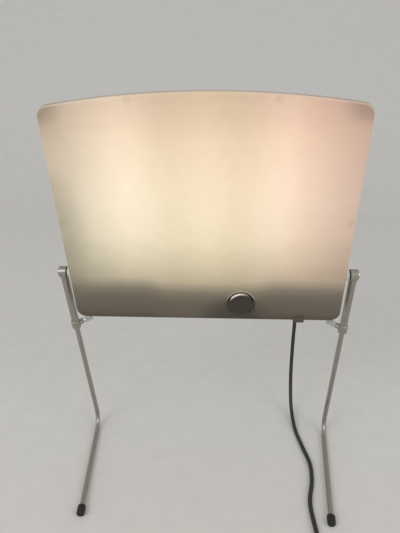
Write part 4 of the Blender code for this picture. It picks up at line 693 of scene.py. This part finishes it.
# Moulded knob plastic: its face is in shade and reads as a warm dark taupe, and the side of it
# that stands before the screen is off-white at its upper half, lit by the glow above
knob_plastic, tree, place = surface("moulded_knob_plastic", "453C34", 0.45, IOR=1.5, Emission_Strength=1)
place = add(tree, "ShaderNodeMapping", {"Vector": place, **in_head}, vector_type="TEXTURE")
_, deep, high = add(tree, "ShaderNodeSeparateXYZ", {0: place}).outputs
flat = add(tree, "ShaderNodeVectorMath", {0: place, 1: (1, 0, 1)}, operation="MULTIPLY")
lit_from = (KNOB_X + LIGHT_SHIFT, 0, KNOB_HEIGHT)
reach = add(tree, "ShaderNodeVectorMath", {0: flat, 1: lit_from}, operation="DISTANCE").outputs["Value"]
cloud = add(tree, "ShaderNodeTexNoise", {"Vector": place, "Scale": 300, "Detail": 3})
face = add(tree, "ShaderNodeValToRGB", {0: cloud}, stops=((0.3, "332C26"), (0.7, "3E362F")))
side_share = add(
    tree, "ShaderNodeMapRange",
    {0: reach, 1: KNOB_FRONT_RADIUS - LIGHT_EDGE, 2: KNOB_FRONT_RADIUS + LIGHT_EDGE}, **soft)
upper = add(
    tree, "ShaderNodeMapRange", {0: high, 1: KNOB_HEIGHT + LIGHT_FROM, 2: KNOB_HEIGHT + LIGHT_FULL}, **soft)
proud = add(tree, "ShaderNodeMapRange", {0: deep, 1: LIGHT_DEPTH[0], 2: LIGHT_DEPTH[1], 3: 1, 4: 0}, **soft)
for factor in (upper, proud):
    side_share = add(tree, "ShaderNodeMath", {0: side_share, 1: factor}, operation="MULTIPLY")
# Painted light and shade: the face's dark taupe is painted shade, and the off-white upper side is painted
# light from the glow above
shade_and_lit_side = add(tree, "ShaderNodeMix", {0: side_share, 6: face, 7: linear("DDD6CA")}, data_type="RGBA").outputs[2]
tree.links.new(shade_and_lit_side, tree.nodes["Principled BSDF"].inputs["Base Color"])
shine = add(tree, "ShaderNodeMath", {0: side_share, 1: LEAK}, operation="MULTIPLY")
add(
    tree, "ShaderNodeVectorMath", {0: linear("F2EADC")[:3], "Scale": shine}, operation="SCALE",
    to="Emission Color")
add(tree, "ShaderNodeMapRange", {0: cloud, 1: 0.3, 2: 0.7, 3: 0.38, 4: 0.52}, to="Roughness")

KNOB = HEAD @ Matrix.Translation((KNOB_X, 0, KNOB_HEIGHT)) @ FRONTWARD
knob = bmesh.new()
turn(knob, (
    (0, KNOB_PROUD - KNOB_DISH), (KNOB_FRONT_RADIUS * 0.55, KNOB_PROUD - KNOB_DISH * 0.8),
    (KNOB_FRONT_RADIUS * 0.85, KNOB_PROUD - KNOB_DISH * 0.25), (KNOB_FRONT_RADIUS - KNOB_EDGE, KNOB_PROUD),
    (KNOB_FRONT_RADIUS, KNOB_PROUD - KNOB_EDGE), (KNOB_RADIUS, -KNOB_REAR), (KNOB_BORE, -KNOB_REAR),
    (KNOB_BORE, KNOB_BORE_END), (0, KNOB_BORE_END)), steps=KNOB_STEPS)
block(knob, (0, KNOB_FRONT_RADIUS - POINTER_INSET - POINTER[1] / 2, KNOB_PROUD - POINTER_SINK), POINTER)
piece("pointer_knob", knob, KNOB, knob_plastic, "knob", ["knob"], bevel=0.0004)


# Screen clip
# A springy tab of smoky polycarbonate, bent round the bottom edge of the screen. It keeps the
# screen on the shell, and is pressed down by a thumb to open the head.
CLIP_X = 0.1408
CLIP_WIDTH = 0.0165
CLIP_SHEET = 0.0012
CLIP_RISE = 0.0075
CLIP_DROP = 0.0028
CLIP_HOOK = 0.0019

# Polycarbonate: smoky, half clear, with scuffed faces
clear, tree, place = surface("clear_polycarbonate", "5E544B", 0.22, IOR=1.585, Transmission_Weight=0.25)
scuff = add(tree, "ShaderNodeTexNoise", {"Vector": place, "Scale": 600, "Detail": 4})
add(tree, "ShaderNodeMapRange", {0: scuff, 1: 0.35, 2: 0.7, 3: 0.14, 4: 0.40}, to="Roughness")
clip = bmesh.new()
back = SCREEN_SKIRT + CLEARANCE
front = -CLEARANCE - CLIP_SHEET
profile = (
    (front, -CLIP_DROP), (-CLEARANCE, -CLIP_DROP), (-CLEARANCE, front), (back + CLIP_SHEET, front),
    (back + CLIP_SHEET, CLIP_HOOK), (back, CLIP_HOOK), (back, -CLEARANCE), (-CLEARANCE, -CLEARANCE),
    (-CLEARANCE, CLIP_RISE), (front, CLIP_RISE))
face = clip.faces.new([clip.verts.new((CLIP_X - CLIP_WIDTH / 2, depth, z)) for depth, z in profile])
made = bmesh.ops.extrude_face_region(clip, geom=[face])["geom"]
bmesh.ops.translate(clip, verts=only(BMVert, made), vec=(CLIP_WIDTH, 0, 0))
piece("retaining_clip", clip, HEAD, clear, "head", ["screen_clip"], bevel=0.00035)


# Pivots
# On each side a chromed shoulder screw passes the leg's eye and a rubber friction washer into a
# brass insert in the shell's boss. The washer's grip holds the head at any tilt.
LEG_PLANE = 0.217
SLEEVE_RADIUS = 0.0057
WASHER = (0.0075, 0.0012)
SCREW_HEAD = (0.006, 0.0026)
SHANK_RADIUS = 0.003
THREAD_RADIUS = 0.0025
THREAD_LENGTH = 0.012
SOCKET_WIDTH = 0.0022
SOCKET_DEPTH = 0.0016
CHAMFER = 0.0006

# Bright chrome plate, with fine wiping scratches
chrome, tree, place = surface("chrome_plate", "D2D3D4", 0.10, Metallic=1.0)
wiped = add(tree, "ShaderNodeTexNoise", {"Vector": place, "Scale": 800, "Detail": 5})
add(tree, "ShaderNodeMapRange", {0: wiped, 1: 0.35, 2: 0.7, 3: 0.07, 4: 0.20}, to="Roughness")

# Turned brass, yellow and a little dull
brass, tree, place = surface("turned_brass", "C9A563", 0.28, Metallic=1.0)
dull = add(tree, "ShaderNodeTexNoise", {"Vector": place, "Scale": 300, "Detail": 4})
add(tree, "ShaderNodeValToRGB", {0: dull}, stops=((0.3, "B8935A"), (0.7, "D2B071")), to="Base Color")
add(tree, "ShaderNodeMapRange", {0: dull, 1: 0.3, 2: 0.7, 3: 0.22, 4: 0.40}, to="Roughness")
dress(("left_pivot_insert", "right_pivot_insert"), brass)

# Black rubber, matt with a dusty bloom
rubber, tree, place = surface("black_rubber", "1D1D1D", 0.78, IOR=1.52)
bloom = add(tree, "ShaderNodeTexNoise", {"Vector": place, "Scale": 180, "Detail": 5})
add(tree, "ShaderNodeValToRGB", {0: bloom}, stops=((0.35, "191919"), (0.75, "2B2A29")), to="Base Color")
add(tree, "ShaderNodeBump", {"Strength": 0.3, "Distance": 0.0002, "Height": bloom}, to="Normal")

for side, sign in (("left", -1), ("right", 1)):
    outward = Matrix.Rotation(sign * pi / 2, 4, "Y")
    washer_radius, washer_thickness = WASHER
    hole = SHANK_RADIUS + CLEARANCE
    washer = bmesh.new()
    turn(washer, (
        (hole, 0), (washer_radius, 0), (washer_radius, washer_thickness), (hole, washer_thickness),
        (hole, 0)))
    seat = HEAD @ Matrix.Translation((sign * (BOSS_END + CLEARANCE), PIVOT_DEPTH, PIVOT_HEIGHT)) @ outward
    piece(
        f"{side}_rubber_washer", washer, seat, rubber, "head", [f"{side}_friction_washer"],
        bevel=0.0002)

    head_radius, head_rise = SCREW_HEAD
    head_x = LEG_PLANE + SLEEVE_RADIUS + CLEARANCE
    shank = head_x - BOSS_END - CLEARANCE
    screw = bmesh.new()
    turn(screw, (
        (SOCKET_WIDTH * 1.35, head_rise), (head_radius * 0.72, head_rise * 0.9),
        (head_radius * 0.93, head_rise * 0.6), (head_radius, head_rise * 0.3), (head_radius, 0),
        (SHANK_RADIUS, 0), (SHANK_RADIUS, -shank), (THREAD_RADIUS, -shank),
        (THREAD_RADIUS, -shank - THREAD_LENGTH + CHAMFER),
        (THREAD_RADIUS * 0.7, -shank - THREAD_LENGTH), (0, -shank - THREAD_LENGTH)))
    brim = [edge for edge in screw.edges if edge.is_boundary]
    hexagon = circle(screw, SOCKET_WIDTH, 6, Matrix.Translation((0, 0, head_rise)))
    bmesh.ops.subdivide_edges(screw, edges=hexagon, cuts=7)
    bridge(screw, (brim, [edge for edge in screw.edges if edge.is_wire]))
    push(screw, [edge for edge in screw.edges if edge.is_boundary], (0, 0, -SOCKET_DEPTH))
    bmesh.ops.contextual_create(screw, geom=[edge for edge in screw.edges if edge.is_boundary])
    seat = HEAD @ Matrix.Translation((sign * head_x, PIVOT_DEPTH, PIVOT_HEIGHT)) @ outward
    piece(
        f"{side}_shoulder_screw", screw, seat, chrome, "head", [f"{side}_pivot_screw"],
        bevel=0.00015, steps=2)


# Legs
# Each leg is a nickel-plated steel tube with an eye at the pivot and a collar at its foot, in which
# a bent rod slides. The rod turns forward along the table and toes in, and ends in a rubber tip.
LEG_LEAN = radians(11.8)
LEG_LENGTH = 0.366
FOOT_LENGTH = 0.214
TOE_IN = radians(6)
ROD_RADIUS = 0.004
ROD_BEND = 0.025
ROD_TOP = 0.014
ROD_STEPS = 28
BEND_STEPS = 18
SLEEVE_BORE = 0.0044
SLEEVE_LENGTH = 0.115
SLEEVE_BORE_DEPTH = 0.020
SLEEVE_TOP = -0.002
SLEEVE_STEPS = 40
EYE_RADIUS = 0.0085
COLLAR_RADIUS = 0.0072
COLLAR_HEIGHT = 0.014
TIP_RADIUS = 0.00635
TIP_LENGTH = 0.015
TIP_WALL = 0.004
TIP_BORE = 0.0043
TIP_ROUND = ((0, 0.0016), (0.0005, 0.0005), (0.0016, 0))
TIP_GROOVES = (0.0030, 0.0062)
GROOVE_WIDTH = 0.0020
SOLE_CUT = 0.0004
LOCK_AIM = radians(38)
LOCK_BOSS_RADIUS = 0.0046
LOCK_BOSS_REACH = 0.0125
LOCK_BORE = 0.0024
LOCK_STEPS = 32
LOCK_SHANK = 0.002
LOCK_NECK = 0.002
LOCK_KNOB_RADIUS = 0.0052
LOCK_KNOB_LENGTH = 0.014
LOCK_EDGE = 0.001
FLUTES = 18

# Satin nickel plate: drawn along the tube, so its fine lines run with the leg
nickel, tree, place = surface("satin_nickel", "A8A49B", 0.32, Metallic=1.0, Anisotropic=0.3)
drawn = add(
    tree, "ShaderNodeMapping", {"Vector": place, "Rotation": (LEG_LEAN, 0, 0), "Scale": (1, 1, 40)},
    vector_type="TEXTURE")
# Lines of about 0.5 mm, coarser than the real ones so that they show
lines = add(tree, "ShaderNodeTexNoise", {"Vector": drawn, "Scale": 2000, "Detail": 3})
add(tree, "ShaderNodeValToRGB", {0: lines}, stops=((0.3, "9A968D"), (0.7, "B3AFA6")), to="Base Color")
add(tree, "ShaderNodeMapRange", {0: lines, 1: 0.3, 2: 0.7, 3: 0.24, 4: 0.42}, to="Roughness")

TURN = pi / 2 + LEG_LEAN
FOOT_RISE = asin((TIP_RADIUS - SOLE_CUT - ROD_RADIUS) / (FOOT_LENGTH - ROD_BEND * tan(TURN / 2)))
for side, sign in (("left", -1), ("right", 1)):
    LEG = Matrix.Translation(joints[f"{side}_leg_tilt"]["pos_m"]) @ Matrix.Rotation(LEG_LEAN, 4, "X")
    aim = Vector((-sign * cos(LOCK_AIM), sin(LOCK_AIM), 0))
    spot = Vector((0, 0, COLLAR_HEIGHT / 2 - SLEEVE_LENGTH))
    lock = Matrix.LocRotScale(spot, aim.to_track_quat("Z", "Y"), None)
    foot = Matrix.Rotation(-LEG_LEAN, 3, "X") @ Vector((
        -sign * sin(TOE_IN) * cos(FOOT_RISE), -cos(TOE_IN) * cos(FOOT_RISE), sin(FOOT_RISE)))
    corner = Vector((0, 0, -LEG_LENGTH))

    # Sleeve: the tube, its eye and its collar with the lock's boss, brazed together
    sleeve = bmesh.new()
    turn(sleeve, (
        (SLEEVE_BORE, SLEEVE_BORE_DEPTH - SLEEVE_LENGTH), (SLEEVE_BORE, -SLEEVE_LENGTH),
        (COLLAR_RADIUS, -SLEEVE_LENGTH), (COLLAR_RADIUS, COLLAR_HEIGHT - SLEEVE_LENGTH),
        (SLEEVE_RADIUS, COLLAR_HEIGHT - SLEEVE_LENGTH + CHAMFER), (SLEEVE_RADIUS, SLEEVE_TOP),
        (0, SLEEVE_TOP)), steps=SLEEVE_STEPS)
    turn(sleeve, (
        (0, SLEEVE_RADIUS), (EYE_RADIUS, SLEEVE_RADIUS), (EYE_RADIUS, -SLEEVE_RADIUS), (0, -SLEEVE_RADIUS)),
        Matrix.Rotation(pi / 2, 4, "Y"))
    turn(sleeve, (
        (LOCK_BOSS_RADIUS, SLEEVE_BORE), (LOCK_BOSS_RADIUS, LOCK_BOSS_REACH), (LOCK_BORE, LOCK_BOSS_REACH),
        (LOCK_BORE, SLEEVE_BORE)), lock, steps=LOCK_STEPS)
    piece(
        f"{side}_leg_tube", sleeve, LEG, nickel, f"{side}_sleeve", [f"{side}_sleeve"],
        bevel=0.0006)

    # Rod: a round bar swept down the leg, round the bend and along the foot
    inside = Vector((0, 0, 1)).angle(foot)
    tangent = ROD_BEND / tan(inside / 2)
    centre = corner + (Vector((0, 0, 1)) + foot).normalized() * ROD_BEND / sin(inside / 2)
    bend_start = corner + Vector((0, 0, tangent))
    axis = (bend_start - centre).cross(corner + foot * tangent - centre).normalized()
    rod = bmesh.new()
    end = circle(rod, ROD_RADIUS, ROD_STEPS, Matrix.Translation((0, 0, -ROD_TOP)))
    end = push(rod, end, (0, 0, bend_start.z + ROD_TOP))
    end = bmesh.ops.spin(
        rod, geom=end, cent=centre, axis=axis, angle=pi - inside, steps=BEND_STEPS)["geom_last"]
    push(rod, only(BMEdge, end), foot * (FOOT_LENGTH - TIP_WALL - CLEARANCE - tangent))
    bmesh.ops.holes_fill(rod, edges=[edge for edge in rod.edges if edge.is_boundary])
    piece(f"{side}_bent_rod", rod, LEG, nickel, f"{side}_rod", [f"{side}_rod"])

    # Tip: a moulded cap with two grip rings and a flat sole
    tip = bmesh.new()
    start = corner + foot * (FOOT_LENGTH - TIP_LENGTH)
    along = Matrix.LocRotScale(start, foot.to_track_quat("Z", "Y"), None)
    low = TIP_RADIUS - CHAMFER
    ribs = []
    for groove in TIP_GROOVES:
        ribs += [
            (TIP_RADIUS, groove), (low, groove + CHAMFER), (low, groove + GROOVE_WIDTH - CHAMFER),
            (TIP_RADIUS, groove + GROOVE_WIDTH)]
    turn(tip, (
        (0, TIP_LENGTH - TIP_WALL), (TIP_BORE, TIP_LENGTH - TIP_WALL), (TIP_BORE, 0), (low, 0),
        (TIP_RADIUS, CHAMFER), *ribs,
        *[(TIP_RADIUS - inward, TIP_LENGTH - short) for inward, short in TIP_ROUND],
        (0, TIP_LENGTH)), along)
    bmesh.ops.transform(tip, matrix=LEG, verts=tip.verts)
    cut = bmesh.ops.bisect_plane(
        tip, geom=[*tip.verts, *tip.edges, *tip.faces], dist=TOUCHING, plane_co=(0, 0, 0), plane_no=(0, 0, 1),
        clear_inner=True)["geom_cut"]
    bmesh.ops.holes_fill(tip, edges=only(BMEdge, cut))
    piece(f"{side}_rubber_tip", tip, Matrix(), rubber, f"{side}_rod", [f"{side}_foot_tip"])

    # Height lock: a thumbscrew with a fluted grip
    neck = LOCK_BOSS_REACH + CLEARANCE
    grip = neck + LOCK_NECK
    end = grip + LOCK_KNOB_LENGTH
    shoulder = LOCK_KNOB_RADIUS - LOCK_EDGE
    screw = bmesh.new()
    turn(screw, (
        (0, end), (shoulder, end), (LOCK_KNOB_RADIUS, end - LOCK_EDGE), (LOCK_KNOB_RADIUS, grip + LOCK_EDGE),
        (shoulder, grip), (LOCK_BOSS_RADIUS - LOCK_EDGE, neck), (LOCK_SHANK, neck),
        (LOCK_SHANK, ROD_RADIUS + CLEARANCE), (0, ROD_RADIUS + CLEARANCE)), steps=3 * FLUTES)
    for vert in screw.verts:
        spoke = round((atan2(vert.co.y, vert.co.x) + pi) / (2 * pi) * 3 * FLUTES) % 3
        if spoke == 0 and vert.co.xy.length > (shoulder + LOCK_KNOB_RADIUS) / 2:
            vert.co.xy *= 1 - CHAMFER / LOCK_KNOB_RADIUS
    piece(f"{side}_thumbscrew", screw, LEG @ lock, chrome, f"{side}_lock", [f"{side}_lock_screw"])


# Strain relief
# A moulded rubber boot in the back of the shell: a flange and a lip grip the wall, and ribs on the
# tapered boot let the cord bend without kinking.
RELIEF_NECK = 0.0065
RELIEF_FLANGE = (0.0092, 0.003)
RELIEF_LIP = 0.0016
BOOT_RADIUS = 0.0072
BOOT_END = 0.0048
BOOT_LENGTH = 0.030
BOOT_RIBS = 6
BOOT_GROOVE = 0.0011
BOOT_TIP = 0.0040


def ribbed(first, last, start, length, ribs, form):
    """The outline of a tapered boot, each rib of which repeats a form of shares and drops."""
    spots = [((rib + share) / ribs, drop) for rib in range(ribs) for share, drop in form]
    return [(first + (last - first) * along - drop, start + length * along) for along, drop in spots]


inner = HEAD_DEPTH - SHELL_WALL - CLEARANCE
outer = HEAD_DEPTH + CLEARANCE
flange_radius, flange_rise = RELIEF_FLANGE
boot_start = outer + flange_rise
relief_end = boot_start + BOOT_LENGTH
boot = ribbed(
    BOOT_RADIUS, BOOT_END, boot_start, BOOT_LENGTH, BOOT_RIBS,
    ((0.10, 0), (0.55, 0), (0.62, BOOT_GROOVE), (0.98, BOOT_GROOVE)))
relief = bmesh.new()
turn(relief, (
    (0, inner - RELIEF_LIP), (flange_radius, inner - RELIEF_LIP), (flange_radius, inner),
    (RELIEF_NECK, inner), (RELIEF_NECK, outer), (flange_radius, outer), (flange_radius, boot_start),
    (BOOT_RADIUS, boot_start), *boot, (BOOT_TIP, relief_end), (0, relief_end)))
RELIEF = HEAD @ Matrix.Translation((RELIEF_X, 0, RELIEF_HEIGHT)) @ Matrix.Rotation(-pi / 2, 4, "X")
relief = piece(
    "ribbed_boot", relief, RELIEF, rubber, "head", ["strain_relief"], bevel=0.0003, steps=2)


# Power cord
# A round black PVC mains cord, 7 mm thick: down from the strain relief to the table, forward beside
# the right foot, and wound into a flat coil in front, with its moulded plug beside the coil.
CORD_RADIUS = 0.0035
CORD_HEIGHT = 0.0036
COIL_RADIUS = 0.0465
COIL_PITCH = 0.0076
COIL_TURNS = 2
CLIMB_TURNS = 0.5
UPPER_TURNS = 1.75
LOOP_POINTS = 24
COIL_LEAD = 0.008
COIL_TAIL = 0.036
CORD_START = 0.020
CORD_LEAD = 0.010
KNOT_STEP = 0.0125
COIL_PLACE = Vector((0.175 - COIL_RADIUS, -0.2005, CORD_HEIGHT))
ROUTE = (
    (0.166, 0.1895, 0.319), (0.165, 0.2015, 0.268), (0.163, 0.1995, 0.200), (0.161, 0.1925, 0.120),
    (0.160, 0.1765, 0.056), (0.160, 0.1435, 0.016), (0.163, 0.0975, CORD_HEIGHT),
    (0.171, 0.0535, CORD_HEIGHT), (0.179, 0.0135, CORD_HEIGHT), (0.177, -0.0225, CORD_HEIGHT),
    (0.168, -0.0645, CORD_HEIGHT), (0.170, -0.1165, CORD_HEIGHT), (0.175, -0.1625, CORD_HEIGHT))


def smooth_route(points, step):
    """Points about a step apart on a smooth curve through the route's own points."""
    knots = [Vector(point) for point in points]
    knots = [2 * knots[0] - knots[1], *knots, 2 * knots[-1] - knots[-2]]
    route = []
    for p0, p1, p2, p3 in zip(knots, knots[1:], knots[2:], knots[3:]):
        t1 = sqrt((p1 - p0).length)
        t2 = t1 + sqrt((p2 - p1).length)
        t3 = t2 + sqrt((p3 - p2).length)
        count = max(2, round((p2 - p1).length / step))
        for index in range(count):
            t = t1 + (t2 - t1) * index / count
            a1 = p0.lerp(p1, t / t1)
            a2 = p1.lerp(p2, (t - t1) / (t2 - t1))
            a3 = p2.lerp(p3, (t - t2) / (t3 - t2))
            route.append(a1.lerp(a2, t / t2).lerp(a2.lerp(a3, (t - t1) / (t3 - t1)), (t - t1) / (t2 - t1)))
    return [*route, Vector(points[-1])]


reverse = COIL_TURNS + CLIMB_TURNS / 2
last_turn = COIL_TURNS + CLIMB_TURNS + UPPER_TURNS
coil = []
for index in range(round(last_turn * LOOP_POINTS) + 1):
    turns = index / LOOP_POINTS
    radius = COIL_RADIUS - COIL_PITCH * reverse + COIL_PITCH * abs(turns - reverse)
    climb = min(1, max(0, (turns - COIL_TURNS) / CLIMB_TURNS))
    angle = -2 * pi * turns
    coil.append(COIL_PLACE + Vector((radius * cos(angle), radius * sin(angle), COIL_PITCH * climb)))
coil = [coil[0] + Vector((0, COIL_LEAD, 0)), *coil, coil[-1] + Vector((-COIL_TAIL, 0, 0))]
start = HEAD @ Vector((RELIEF_X, relief_end + CLEARANCE, RELIEF_HEIGHT))
back = lean.to_3x3() @ Vector((0, 1, 0))
end = coil[0] + Vector((0, CLEARANCE, 0))
free = smooth_route(
    [start, start + back * CORD_START, *ROUTE, end + Vector((0, CORD_LEAD, 0)), end], KNOT_STEP)
points = free[:-1] + coil

# PVC sheath: black, satin, slightly wavy from its three cores
pvc, tree, place = surface("pvc_sheath", "222224", 0.46, IOR=1.53)
skin = add(tree, "ShaderNodeTexNoise", {"Vector": place, "Scale": 260, "Detail": 4})
add(tree, "ShaderNodeValToRGB", {0: skin}, stops=((0.3, "1D1D1F"), (0.7, "29292B")), to="Base Color")
add(tree, "ShaderNodeMapRange", {0: skin, 1: 0.3, 2: 0.7, 3: 0.38, 4: 0.54}, to="Roughness")
add(tree, "ShaderNodeBump", {"Strength": 0.12, "Distance": 0.0002, "Height": skin}, to="Normal")

line = bpy.data.curves.new("mains_cord", "CURVE")
line.dimensions = "3D"
line.bevel_depth = CORD_RADIUS
line.bevel_resolution = 4
line.resolution_u = 4
line.use_fill_caps = True
spline = line.splines.new("BEZIER")
spline.bezier_points.add(len(points) - 1)
for knot, point in zip(spline.bezier_points, points):
    knot.co = point
    knot.handle_left_type = knot.handle_right_type = "AUTO"
line.materials.append(pvc)
cord = bpy.data.objects.new("mains_cord", line)
bpy.context.scene.collection.objects.link(cord)
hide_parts("power_cord", "cord_coil")
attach(cord, "head")

# Moulded plug: a body with finger ridges, a ribbed boot, two flat blades and a round ground pin
PLUG_BOOT = 0.018
PLUG_BOOT_RADIUS = 0.0052
PLUG_BOOT_ROOT = 0.0075
PLUG_BOOT_RIBS = 4
PLUG_SIZE = (0.022, 0.025, 0.038)
PLUG_REAR = (0.80, 0.74)
PLUG_EDGE = 0.004
PLUG_STEPS = 32
RIDGES = 4
RIDGE_START = 0.012
RIDGE_PITCH = 0.0042
RIDGE = (0.011, 0.0016, 0.0018)
RIDGE_SINK = 0.0005
RIB_DROP = 0.0008
BOOT_SINK = 0.002
PLUG = Matrix.Translation(coil[-1] + Vector((-CLEARANCE, 0, 0))) @ Matrix.Rotation(-pi / 2, 4, "Y")
plug = bmesh.new()
wide, long = PLUG_SIZE[1:]
for vert in block(plug, (0, 0, PLUG_BOOT + long / 2), PLUG_SIZE):
    if vert.co.z < PLUG_BOOT + long / 2:
        vert.co.x *= PLUG_REAR[0]
        vert.co.y *= PLUG_REAR[1]
bmesh.ops.bevel(
    plug, geom=list(plug.edges), offset=PLUG_EDGE, segments=6, profile=0.5, affect="EDGES", material=-1)
for side in (-1, 1):
    for index in range(RIDGES):
        along = RIDGE_START + index * RIDGE_PITCH
        reach = wide / 2 * (PLUG_REAR[1] + (1 - PLUG_REAR[1]) * along / long)
        block(plug, (0, side * (reach - RIDGE_SINK), PLUG_BOOT + along), RIDGE)
boot = ribbed(
    PLUG_BOOT_RADIUS, PLUG_BOOT_ROOT, 0, PLUG_BOOT, PLUG_BOOT_RIBS,
    ((0.02, RIB_DROP), (0.30, RIB_DROP), (0.42, 0), (0.90, 0)))
root = PLUG_BOOT + BOOT_SINK
turn(
    plug, ((0, 0), (PLUG_BOOT_RADIUS - RIB_DROP, 0), *boot, (PLUG_BOOT_ROOT, root), (0, root)),
    steps=PLUG_STEPS)
plug = piece("moulded_plug", plug, PLUG, pvc, "head", ["plug_body"], bevel=0.0003, steps=2)
dress(("left_plug_blade", "right_plug_blade", "ground_pin"), brass, bevel=0.0003)
